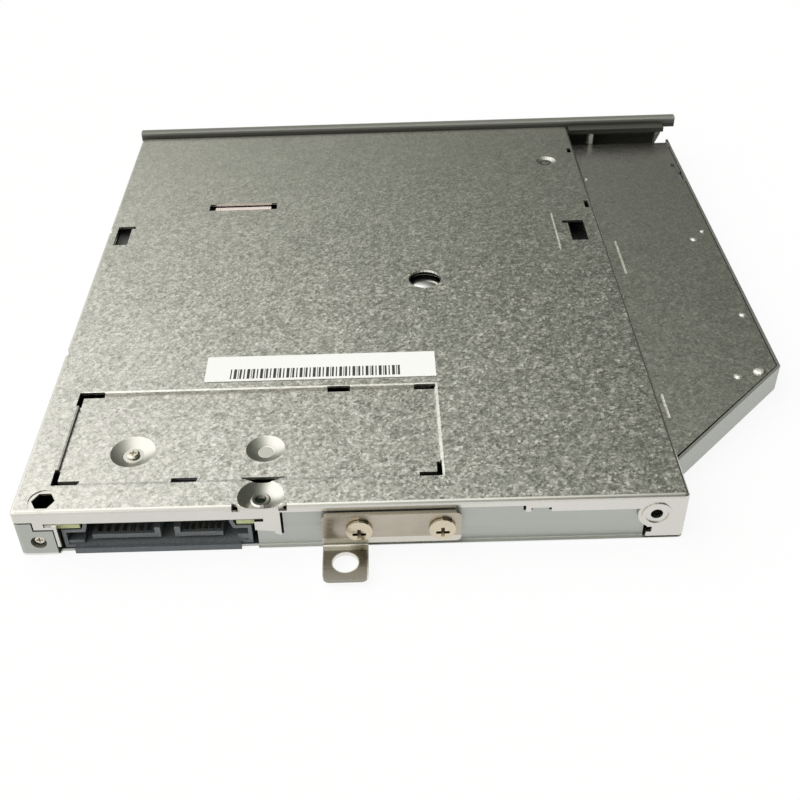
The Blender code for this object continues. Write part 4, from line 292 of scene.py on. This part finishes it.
class Finish(Nodes):
    """A material and its nodes."""

    def __init__(self, name, colour=(0.5, 0.5, 0.5), roughness=0.5, metallic=0.0, **fixed):
        self.material = bpy.data.materials.new(name)
        self.material.use_nodes = True
        super().__init__(self.material.node_tree)
        self.shader = self.tree.nodes["Principled BSDF"]
        self.set(**{"Base Color": colour, "Roughness": roughness, "Metallic": metallic})
        self.set(**{words.replace("_", " "): value for words, value in fixed.items()})

    def set(self, **values):
        """Set the surface shader's sockets."""
        for name, value in values.items():
            self.feed(self.shader.inputs[name], value)
        return self

    def lean(self, *cells):
        """The surface's direction, leaned a little at random. Each of cells is (random colours, lean)."""
        facing = self.node("ShaderNodeNewGeometry", output="Normal")
        for colours, lean in cells:
            drift = self.vector("SUBTRACT", colours, (0.5, 0.5, 0.5))
            facing = self.vector("ADD", facing, self.scaled(drift, lean))
        return self.vector("NORMALIZE", facing)

    def swayed(self, facing, share, way):
        """The surface's direction, swayed another way by a share."""
        return self.vector("NORMALIZE", self.vector("ADD", facing, self.scaled(way, share)))

    def facing(self, axis):
        """How far the surface faces along X, Y or Z."""
        way = self.node("ShaderNodeNewGeometry", output="Normal")
        return self.node("ShaderNodeSeparateXYZ", values={0: way}, output="XYZ".index(axis))

    def dished(self, facing, x, y, radius, lean, right, floor):
        """The surface's direction, turned in as in a smooth hollow. A lean below 0 is a dome's."""
        apart_x, apart_y = self.along("X") - x, self.along("Y") - y
        within = self.disc(x, y, radius) * (self.facing("Z") > 0.75) * (self.along("Z") > floor)
        hollow = self.node("ShaderNodeCombineXYZ", values={
            "X": apart_x * (-lean / radius) + right, "Y": apart_y * (-lean / radius), "Z": 1.0})
        return self.vector("NORMALIZE", self.mix(within, facing, hollow))

    def domed(self):
        """The surface's direction, rounded as the bracket screws' heads are."""
        facing = self.lean()
        slope = HEAD_SLOPE / HEAD_RADIUS
        for x, z in BRACKET_SCREWS:
            apart_x, apart_z = self.along("X") - x, self.along("Z") - z
            within = ((apart_x ** 2.0 + apart_z ** 2.0) ** 0.5 < HEAD_RADIUS) * (self.facing("Y") < -0.5)
            dome = self.node("ShaderNodeCombineXYZ", values={
                "X": apart_x * slope, "Y": -1.0, "Z": apart_z * slope})
            facing = self.vector("NORMALIZE", self.mix(within, facing, dome))
        return facing

    def recess(self):
        """1 inside a bracket screw's cross, which is near its axis and deep in its head."""
        near = 0.0
        for x, z in BRACKET_SCREWS:
            apart = ((self.along("X") - x) ** 2.0 + (self.along("Z") - z) ** 2.0) ** 0.5
            near = (apart < CROSS_REACH) + near
        return near * (self.along("Y") > CROSS_DEPTH)

    def disc(self, x, y, radius):
        """1 within a radius of a place on the underside, 0 outside it."""
        apart = ((self.along("X") - x) ** 2.0 + (self.along("Y") - y) ** 2.0) ** 0.5
        return apart.spread(radius - RIM_SOFT, radius + RIM_SOFT, 1.0, 0.0)

    def field(self, x0, x1, y0, y1):
        """1 within a rectangle of the underside, 0 outside it."""
        x, y = self.along("X"), self.along("Y")
        return (x > x0) * (x < x1) * (y > y0) * (y < y1)

    def spot(self, stretch=(1.0, 1.0, 1.0)):
        """The place on the piece in millimetres, squeezed by a stretch."""
        where = self.node("ShaderNodeTexCoord", output="Object")
        return self.vector("MULTIPLY", where, tuple(1.0 / (MM * part) for part in stretch))

    def along(self, axis):
        """How far along X, Y or Z the surface stands, in millimetres."""
        parts = self.node("ShaderNodeSeparateXYZ", values={0: self.spot()}, output="XYZ".index(axis))
        corner = (CORNER.x, CORNER.y, 0.0)["XYZ".index(axis)] / MM
        return parts - corner

    def noise(self, size, detail, stretch=(1.0, 1.0, 1.0), distortion=0.0):
        """Soft noise whose lumps are about a size across, in millimetres."""
        return self.node("ShaderNodeTexNoise", values={
            "Vector": self.spot(stretch), "Scale": 1.0 / size, "Detail": detail, "Distortion": distortion})

    def crystals(self, size, warp, feature="F1", output="Color"):
        """Irregular cells about a size across, each with a random colour, or how far its edge is."""
        drift = self.node("ShaderNodeTexNoise", values={
            "Vector": self.spot(), "Scale": 1.6 / size, "Detail": 2.0}, output=1)
        moved = self.vector("ADD", self.spot(), self.vector("MULTIPLY", drift, (size * warp * 2,) * 3))
        cells = {"Vector": moved, "Scale": 1.0 / size}
        return self.node("ShaderNodeTexVoronoi", {"feature": feature}, cells, output)

    def relief(self, height, depth):
        """A fine relief of the surface, whose full height is a depth in millimetres."""
        bump = self.node("ShaderNodeBump", values={
            "Height": height, "Distance": depth * MM, "Strength": 1.0})
        return self.set(Normal=bump)


# Finishes

def galvanised():
    """Galvanised sheet: crystals that lean this way and that, smoother to the bezel and on the wing."""
    finish = Finish("galvanised", metallic=1.0)
    x, y = finish.along("X"), finish.along("Y")
    coarse = finish.crystals(CRYSTAL, 0.5)
    seams = finish.crystals(CRYSTAL, 0.5, "DISTANCE_TO_EDGE", "Distance").spread(0.0, 0.09, -0.30, 0.0)
    fine = finish.crystals(FINE_CRYSTAL, 0.6)
    cloud = finish.noise(11.0, 4.0)
    dust = finish.noise(0.20, 2.0)
    pressed = sum((finish.disc(*spot) for spot in PRESSED), 0.0)
    smooth = pressed.spread(0.0, 1.0, 1.0, 0.0) * (finish.facing("Z") > 0.985)
    raw = smooth * y.spread(55.0, 118.0, 1.15, 0.42) * x.spread(0.0, 60.0, 0.72, 1.0)
    raw = raw * (1 - (x > WING_LEFT) * 0.5)
    x0, x1, y0, y1 = PANEL
    # The panel's far and right edges are painted paler as highlights, its near and left edges darker as
    # shade
    lines = finish.field(x1 - PANEL_LINE, x1, y0, y1) + finish.field(x0, x1, y1 - PANEL_LINE, y1)
    lines = lines.spread(0.0, 1.0)
    dark = finish.field(x0, x1, y0, y0 + PANEL_LINE) + finish.field(x0, x0 + PANEL_LINE, y0, y1) * 2
    # Ridges and dots get painted highlights in their colour, and their surface leans towards the light
    bright = sum((finish.field(*ridge) for ridge in GLINT_RIDGES), 0.0)
    bright = sum((finish.disc(*dot) for dot in GLINT_DOTS), bright)
    grain = fine.spread(0.0, 1.0, -0.5, 0.5) * 0.24 + dust.spread(0.25, 0.75, -0.5, 0.5) * 0.30 + seams
    tone = (grain * raw + 1.03) * (cloud * 0.16 + 0.92) * (lines * 0.48 + dark * -0.22 + bright * 0.3 + 1)
    raw = raw * (lines * -0.8 + 1)
    facing = finish.lean((coarse, raw * 0.08), (fine, raw * 0.17), (dust, raw * 0.10))
    facing = finish.swayed(facing, lines * 0.5 + bright * 0.75, (-0.3, 0.0, 0.0))
    for hollow in HOLLOWS:
        facing = finish.dished(facing, *hollow)
    finish.set(**{
        "Base Color": finish.tint((0.665, 0.65, 0.605), tone),
        "Roughness": dust.spread(0.3, 0.7, 0.26, 0.38),
        "Normal": facing,
    })
    return finish


def plated_steel():
    """Smooth plated sheet with faint rolling lines, and a painted highlight that makes it paler at the
    rear's foot.
    """
    finish = Finish("plated_steel", metallic=1.0)
    lines = finish.noise(0.30, 2.0, stretch=(40.0, 1.0, 1.0))
    cloud = finish.noise(22.0, 3.0)
    # The foot at the rear is painted pale, as a highlight on its fold
    painted_foot_light = (finish.along("Z") < FOOT_HIGH) * (finish.along("Y") < FOOT_REACH)
    colour = finish.mix(painted_foot_light, (0.490, 0.503, 0.470), (0.84, 0.85, 0.82))
    finish.set(**{
        "Base Color": finish.tint(colour, cloud * 0.08 + 0.96),
        "Roughness": lines.spread(0.3, 0.7, 0.44, 0.52),
    })
    return finish.relief(lines, 0.003)


def bright_steel():
    """Drawn or turned steel with fine tool lines."""
    finish = Finish("bright_steel", metallic=1.0)
    lines = finish.noise(0.12, 2.0, stretch=(1.0, 30.0, 1.0))
    finish.set(**{
        "Base Color": finish.tint((0.66, 0.655, 0.64), lines * 0.2 + 0.9),
        "Roughness": lines.spread(0.3, 0.7, 0.16, 0.28),
    })
    return finish.relief(lines, 0.002)


def turned_steel():
    """Bright steel turned to a low cone, which is light on its left and dark on its right."""
    finish = Finish("turned_steel", metallic=1.0)
    lines = finish.noise(0.12, 2.0)
    finish.set(**{
        "Base Color": finish.tint((0.80, 0.80, 0.79), lines * 0.2 + 0.9),
        "Roughness": lines.spread(0.3, 0.7, 0.12, 0.22),
        "Normal": finish.dished(finish.lean(), *MOTOR_CAP),
    })
    return finish


def nickel():
    """Satin nickel with a warm cast and faint handling marks, with painted shade and highlights on the
    tab.
    """
    finish = Finish("nickel", metallic=1.0)
    cloud = finish.noise(5.0, 4.0)
    marks = finish.noise(0.4, 3.0, stretch=(6.0, 1.0, 1.0))
    x, y, z = finish.along("X"), finish.along("Y"), finish.along("Z")
    tab = y < TAB_BACK
    hole_x, hole_y, hole_radius = TAB_HOLE
    left, right, front = TAB_EDGES
    fold_reach, fold_high = TAB_FOLD
    ring = ((x - hole_x) ** 2.0 + (y - hole_y) ** 2.0) ** 0.5 < hole_radius
    # The tab's edges and the rim round its hole are painted pale, as highlights
    edge = (x < left) + (x > right) + (y < front) * (z > TAB_SHINE_LOW) + ring
    colour = finish.mix(cloud.spread(0.35, 0.65), (0.425, 0.380, 0.312), (0.485, 0.437, 0.362))
    # The tab is painted darker, as shade
    colour = finish.mix(tab, colour, (0.315, 0.290, 0.250))
    # The fold is painted paler, as a highlight
    colour = finish.mix((y > fold_reach) * (z < fold_high), colour, (0.66, 0.63, 0.56))
    colour = finish.mix(edge.spread(0.0, 1.0) * tab, colour, (0.78, 0.76, 0.71))
    finish.set(**{"Base Color": colour, "Roughness": marks.spread(0.3, 0.7, 0.22, 0.34)})
    return finish.relief(marks, 0.003)


def yellow_metal(name, colour, rough):
    """Brass, gold or copper with small changes of tone."""
    finish = Finish(name, metallic=1.0)
    cloud = finish.noise(1.2, 3.0)
    finish.set(**{
        "Base Color": finish.tint(colour, cloud * 0.3 + 0.85),
        "Roughness": cloud.spread(0.3, 0.7, rough - 0.06, rough + 0.08),
    })
    return finish.relief(cloud, 0.002)


def die_cast():
    """Die-cast zinc: matt grey with flow marks."""
    finish = Finish("die_cast", metallic=1.0)
    flow = finish.noise(2.5, 5.0, distortion=1.2)
    grain = finish.noise(0.12, 2.0)
    finish.set(**{
        "Base Color": finish.tint((0.50, 0.51, 0.52), flow * 0.3 + 0.85),
        "Roughness": grain.spread(0.3, 0.7, 0.38, 0.52),
    })
    return finish.relief(grain, 0.010)


def moulded(name, colour, rough, grain_size, depth):
    """Moulded plastic with a fine eroded grain."""
    finish = Finish(name)
    grain = finish.noise(grain_size, 2.0)
    cloud = finish.noise(9.0, 3.0)
    finish.set(**{
        "Base Color": finish.tint(colour, cloud * 0.24 + 0.88),
        "Roughness": grain.spread(0.3, 0.7, rough - 0.06, rough + 0.08),
    })
    return finish.relief(grain, depth)


def slate_plastic():
    """The socket's slate plastic: a little paler on its rear faces, and on the cavity's floor, where light
    is painted.
    """
    finish = Finish("slate_plastic")
    grain = finish.noise(0.3, 3.0)
    y, z = finish.along("Y"), finish.along("Z")
    rear = finish.facing("Y") < -0.7
    # The cavity's floor is painted paler, as the light that falls on it
    inside = (y > CAVITY_START) * (finish.facing("Z") > 0.5) * (z < CAVITY_FLOOR)
    colour = finish.mix(inside, (0.125, 0.137, 0.150), (0.190, 0.208, 0.216))
    # Faces that look to the rear, above a level, are a little paler
    colour = finish.mix(rear * (z > PALE_REAR_LOW), colour, (0.17, 0.18, 0.19))
    finish.set(**{
        "Base Color": finish.tint(colour, grain.spread(0.3, 0.7, 0.80, 1.22)),
        "Roughness": grain.spread(0.3, 0.7, 0.36, 0.50),
    })
    return finish.relief(grain, 0.02)


def bezel_plastic():
    """Fine grained olive grey; painted highlights along the back and upper roll, painted light and shade
    over the wing.
    """
    finish = Finish("bezel_plastic")
    grain = finish.noise(0.25, 2.0)
    x, y, z = finish.along("X"), finish.along("Y"), finish.along("Z")
    # The upper roll and the line along the back are painted paler, as highlights
    roll = z.spread(ROLL_LOW, ROLL_HIGH)
    back = y.spread(*BACK_LINE) * roll
    # The pockets over the wing are painted pale, as light in them
    painted_pocket_light = (x > LEDGE_LEFT) * (y < POCKET_DEPTH) * (z < POCKET_HIGH)
    shaded = (x > LEDGE_LEFT) * (z > LEDGE_LOW) * (z < LEDGE_HIGH) * (finish.facing("Y") < -0.7)
    colour = finish.mix(roll, (0.068, 0.068, 0.057), (0.185, 0.185, 0.160))
    colour = finish.mix(back, colour, (0.260, 0.262, 0.235))
    colour = finish.mix(painted_pocket_light, colour, (0.400, 0.410, 0.370))
    colour = finish.mix(shaded, colour, (0.024, 0.026, 0.022))
    finish.set(**{
        "Base Color": finish.tint(colour, grain.spread(0.3, 0.7, 0.94, 1.06)),
        "Roughness": grain.spread(0.3, 0.7, 0.42, 0.56),
    })
    return finish.relief(grain, 0.010)


def screw_plate():
    """Pale yellow plate on the bracket's screws, painted darker in the cross of the head as shade."""
    finish = Finish("screw_plate", metallic=1.0)
    cloud = finish.noise(0.9, 3.0)
    colour = finish.tint((0.66, 0.585, 0.45), cloud * 0.3 + 0.85)
    finish.set(**{
        # The cross is painted dark, as shade deep in the recess
        "Base Color": finish.mix(finish.recess(), colour, (0.26, 0.21, 0.14)),
        "Roughness": cloud.spread(0.3, 0.7, 0.20, 0.32),
        "Normal": finish.domed(),
    })
    return finish


def clear_plastic():
    """Clear acrylic."""
    finish = Finish("clear_plastic", (0.88, 0.92, 0.94), Transmission_Weight=0.9, IOR=1.49)
    haze = finish.noise(0.8, 2.0)
    finish.set(Roughness=haze.spread(0.3, 0.7, 0.06, 0.16))
    return finish.relief(haze, 0.002)


def soft_rubber():
    """Soft black rubber with a dusty bloom."""
    finish = Finish("soft_rubber", Sheen_Weight=0.2)
    bloom = finish.noise(0.5, 4.0)
    finish.set(**{
        "Base Color": finish.mix(bloom.spread(0.4, 0.7), (0.022, 0.022, 0.022), (0.045, 0.044, 0.042)),
        "Roughness": bloom.spread(0.3, 0.7, 0.75, 0.92),
    })
    return finish.relief(bloom, 0.01)


def circuit_board():
    """Green solder mask over fine copper tracks, pale at the bare margin."""
    finish = Finish("circuit_board")
    across = finish.along("X").teeth(TRACK_PITCH)
    down = finish.along("Y").teeth(TRACK_PITCH)
    area = finish.crystals(3.2, 0.0)
    tracks = (across > 0.55) * (area > 0.5) + (down > 0.55) * (area < 0.5)
    weave = finish.noise(0.25, 2.0)
    margin = finish.along("Y") < BARE_MARGIN
    mask = finish.mix(tracks, (0.020, 0.050, 0.018), (0.035, 0.075, 0.026))
    colour = finish.mix(margin, mask, (0.60, 0.62, 0.33))
    finish.set(**{
        "Base Color": finish.tint(colour, weave * 0.2 + 0.9),
        "Roughness": weave.spread(0.3, 0.7, 0.34, 0.46),
    })
    return finish.relief(tracks, 0.02)


def ribbon_film():
    """Pinkish white film with fine tracks along the cable."""
    finish = Finish("ribbon_film", Coat_Weight=0.3, Coat_Roughness=0.2)
    track = finish.along("X").wave((CABLE_RIGHT - CABLE_LEFT) / CABLE_TRACKS)
    cloud = finish.noise(6.0, 3.0)
    colour = finish.mix(track.spread(0.35, 0.65), (0.74, 0.61, 0.57), (0.86, 0.77, 0.73))
    finish.set(**{
        "Base Color": finish.tint(colour, cloud * 0.16 + 0.92),
        "Roughness": cloud.spread(0.3, 0.7, 0.34, 0.46),
    })
    return finish.relief(track, 0.02)


def lens_glass():
    """The pickup's coated lens."""
    finish = Finish("lens_glass", roughness=0.04, metallic=0.3, Coat_Weight=1.0, Coat_Roughness=0.02)
    bloom = finish.noise(1.8, 2.0).spread(0.4, 0.6)
    return finish.set(**{"Base Color": finish.mix(bloom, (0.07, 0.10, 0.30), (0.16, 0.09, 0.26))})


def paper():
    """White label paper with a plain row of bars."""
    finish = Finish("paper")
    fibre = finish.noise(0.35, 4.0)
    cell = finish.along("X").teeth(BARS_PITCH)
    bars = (cell < 0.16) + (cell > 0.30) * (cell < 0.40)
    bars = bars + (cell > 0.56) * (cell < 0.78) + (cell > 0.88) * (cell < 0.94)
    white = finish.tint((0.89, 0.885, 0.87), fibre * 0.05 + 0.975)
    finish.set(**{
        "Base Color": finish.mix(bars * finish.field(*BARS), white, (0.045, 0.045, 0.048)),
        "Roughness": fibre.spread(0.3, 0.7, 0.62, 0.78),
    })
    return finish.relief(fibre, 0.006)


def winding():
    """Enamelled copper wire, layer by layer, painted darker between the turns as shade."""
    finish = Finish("winding", metallic=1.0, Coat_Weight=0.4, Coat_Roughness=0.15)
    turns = finish.along("Y").wave(WIRE_PITCH)
    finish.set(**{
        # The wire is painted darker in the grooves between turns, as shade
        "Base Color": finish.mix(turns, (0.34, 0.13, 0.06), (0.72, 0.36, 0.18)),
        "Roughness": turns.spread(0.0, 1.0, 0.38, 0.24),
    })
    return finish.relief(turns, 0.05)


def dress():
    """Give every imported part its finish, and return the steel that most of them have."""
    black = moulded("black_plastic", (0.050, 0.052, 0.050), 0.48, 0.22, 0.012)
    white = moulded("white_plastic", (0.70, 0.69, 0.66), 0.42, 0.3, 0.005)
    board = circuit_board()
    steel = bright_steel()
    plated = plated_steel()
    brass = yellow_metal("brass", (0.74, 0.58, 0.30), 0.26)
    wear = {
        "bottom_cover": galvanised(),
        "rear_bracket": nickel(),
        "front_bezel": bezel_plastic(),
        "sata_socket": slate_plastic(),
        "hub_clamp": moulded("hub_plastic", (0.035, 0.038, 0.042), 0.36, 0.25, 0.006),
        "pickup_sled": die_cast(),
        "pickup_lens": lens_glass(),
        "label": paper(),
        "magnet_coil": winding(),
        "light_pipe": clear_plastic(),
        "signal_contacts": yellow_metal("dull_gold", (0.30, 0.26, 0.18), 0.34),
        "motor_base": turned_steel(),
    }
    wear["eject_button"] = wear["front_bezel"]
    wear["power_contacts"] = wear["signal_contacts"]
    wear["lead_screw"] = wear["board_nut"] = brass
    for name in ("top_cover", "traverse_frame", "tray_shield", "magnet_yoke"):
        wear[name] = plated
    wear["bracket_screw_1"] = wear["bracket_screw_2"] = screw_plate()
    wear["board_screw"] = wear["corner_screw"] = yellow_metal("pale_plate", (0.70, 0.66, 0.56), 0.20)
    for name in ("main_board", "front_board", "tray_board"):
        wear[name] = board
    for name in ("eject_switch", "board_connector", "tray_connector", "latch_lever", "eject_pusher"):
        wear[name] = white
    for name in ("tray", "pusher_housing", "controller_chip", "memory_chip", "driver_chip"):
        wear[name] = black
    guide = moulded("guide_plastic", (0.13, 0.135, 0.125), 0.5, 0.25, 0.010)
    wear["left_guide"] = wear["right_guide"] = guide
    rubber = soft_rubber()
    for number in (1, 2, 3):
        wear[f"damper_{number}"] = rubber
    for name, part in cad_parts.items():
        finish = wear.get(name, steel)
        part.data.materials.clear()
        part.data.materials.append(finish.material)
    return steel


# Pieces made here

def piece(name, bm, finish):
    """A smooth object from a bmesh, in its finish."""
    bmesh.ops.recalc_face_normals(bm, faces=bm.faces)
    mesh = bpy.data.meshes.new(name)
    bm.to_mesh(mesh)
    bm.free()
    mesh.shade_smooth()
    mesh.set_sharp_from_angle(angle=SHARP_ANGLE)
    made = bpy.data.objects.new(name, mesh)
    bpy.context.scene.collection.objects.link(made)
    made.data.materials.append(finish.material)
    return made


def skin(rings):
    """A closed tube of faces through rings of points."""
    bm = bmesh.new()
    rows = [[bm.verts.new(point) for point in ring] for ring in rings]
    for low, high in zip(rows, rows[1:]):
        for i in range(len(low)):
            j = (i + 1) % len(low)
            bm.faces.new((low[i], low[j], high[j], high[i]))
    bm.faces.new(rows[0][::-1])
    bm.faces.new(rows[-1])
    return bm


def cable(film):
    """The flat cable: an upper half from the main board, and a lower half from the tray with the fold."""
    fold, level, radius = CABLE_FOLD
    upper = list(CABLE_UPPER)
    lower = list(CABLE_LOWER)
    for path, end in ((upper, level + radius), (lower, level - radius)):
        y, z = path[-1]
        for step in range(1, CABLE_STEPS + 1):
            share = step / CABLE_STEPS
            path.append((y + (fold - y) * share, z + (end - z) * share))
    turn = [math.radians(angle) for angle in CABLE_BEND]
    bend = [(fold + radius * math.cos(angle), level + radius * math.sin(angle)) for angle in turn]
    for name, path, node, near, far, first in (
        ("cable_upper", upper, "board_ribbon", "chassis", "tray", CABLE_UPPER[-1][0]),
        ("cable_lower", lower + bend, "tray_ribbon", "tray", "chassis", CABLE_LOWER[0][0]),
    ):
        rings = []
        for number, (y, z) in enumerate(path):
            before = path[max(number - 1, 0)]
            after = path[min(number + 1, len(path) - 1)]
            way = Vector((after[0] - before[0], after[1] - before[1])).normalized() * (CABLE_SHEET / 2)
            rings.append([
                place(CABLE_LEFT, y - way.y, z + way.x), place(CABLE_RIGHT, y - way.y, z + way.x),
                place(CABLE_RIGHT, y + way.y, z - way.x), place(CABLE_LEFT, y + way.y, z - way.x),
            ])
        made = piece(name, skin(rings), film)
        place(0, first, level)
        place(0, 2 * fold - first, level)
        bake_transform(made)
        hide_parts(node)


def spring(steel):
    """The ejector's spring."""
    rings = []
    total = SPRING_TURNS * SPRING_STEPS
    for step in range(total + 1):
        angle = 2 * math.pi * SPRING_TURNS * step / total
        y = SPRING_START + (SPRING_END - SPRING_START) * step / total
        ring = []
        for corner in range(SPRING_SIDES):
            around = 2 * math.pi * corner / SPRING_SIDES
            reach = SPRING_RADIUS + SPRING_WIRE_RADIUS * math.cos(around)
            ring.append(place(
                SPRING_AXIS[0] + reach * math.cos(angle), y + SPRING_WIRE_RADIUS * math.sin(around),
                SPRING_AXIS[1] + reach * math.sin(angle)))
        rings.append(ring)
    made = piece("ejector_spring", skin(rings), steel)
    place(0, SPRING_START, 0)
    place(0, SPRING_END, 0)
    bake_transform(made)
    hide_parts("pusher_spring")


# The stage

def stage():
    """A white table, which keeps the drive's soft shadow."""
    floor = Finish("floor", (0.90, 0.90, 0.90), 0.9)
    tree = floor.tree
    glow = tree.nodes.new("ShaderNodeEmission")
    glow.inputs["Color"].default_value = (1, 1, 1, 1)
    mixer = tree.nodes.new("ShaderNodeMixShader")
    floor.feed(mixer.inputs[0], floor.plain_rays() * TABLE_WHITE)
    tree.links.new(floor.shader.outputs[0], mixer.inputs[1])
    tree.links.new(glow.outputs[0], mixer.inputs[2])
    tree.links.new(mixer.outputs[0], tree.nodes["Material Output"].inputs[0])
    bm = bmesh.new()
    bmesh.ops.create_grid(bm, x_segments=1, y_segments=1, size=TABLE_REACH)
    bmesh.ops.translate(bm, verts=bm.verts, vec=(0, 0, -TABLE_DROP))
    piece("floor", bm, floor)


def surroundings():
    """White to the eye. The drive sees it bright to the left and above, and dim to the right."""
    world = bpy.data.worlds.new("surroundings")
    bpy.context.scene.world = world
    world.use_nodes = True
    sky = Nodes(world.node_tree)
    back = world.node_tree.nodes["Background"]
    way = sky.node("ShaderNodeTexCoord", output="Generated")
    x, z = [sky.node("ShaderNodeSeparateXYZ", values={0: way}, output=part) for part in (0, 2)]
    power = z * SKY_UP - x * SKY_LEFT
    glow = power.maths("EXPONENT", power) * SKY_LEVEL
    most = sky.node("ShaderNodeLightPath", output="Is Diffuse Ray") * (SKY_MOST_SOFT - SKY_MOST) + SKY_MOST
    glow = glow.maths("MAXIMUM", glow.maths("MINIMUM", glow, most), SKY_LEAST)
    camera = sky.node("ShaderNodeLightPath", output="Is Camera Ray")
    cast = sky.mix(glow.spread(0.2, 1.1), SKY_DEEP, SKY_PALE)
    sky.feed(back.inputs["Color"], sky.mix(camera, cast, (1.0, 1.0, 1.0)))
    sky.feed(back.inputs["Strength"], glow * (1 - camera) + camera)


def camera():
    """The camera where the photograph was taken from."""
    lens = bpy.data.cameras.new("camera")
    lens.lens = FOCAL_LENGTH
    lens.sensor_width = SENSOR_WIDTH
    lens.shift_x, lens.shift_y = CAMERA_SHIFT
    lens.clip_start = CAMERA_NEAR
    lens.clip_end = CAMERA_FAR
    made = bpy.data.objects.new("camera", lens)
    bpy.context.scene.collection.objects.link(made)
    bpy.context.scene.camera = made
    flat = math.cos(CAMERA_ELEVATION)
    back = Vector((
        math.sin(CAMERA_AZIMUTH) * flat, -math.cos(CAMERA_AZIMUTH) * flat, math.sin(CAMERA_ELEVATION)))
    level = (-back).cross(Vector((0, 0, 1))).normalized()
    upright = back.cross(level)
    right = level * math.cos(CAMERA_ROLL) + upright * math.sin(CAMERA_ROLL)
    top = upright * math.cos(CAMERA_ROLL) - level * math.sin(CAMERA_ROLL)
    turn = Matrix((right, top, back)).transposed().to_4x4()
    spot = place(*CAMERA_TARGET) + back * CAMERA_DISTANCE * MM
    made.matrix_world = Matrix.Translation(spot) @ turn


camera()
stage()
surroundings()
steel = dress()
cable(ribbon_film())
spring(steel)
bpy.context.scene.view_settings.view_transform = "Standard"
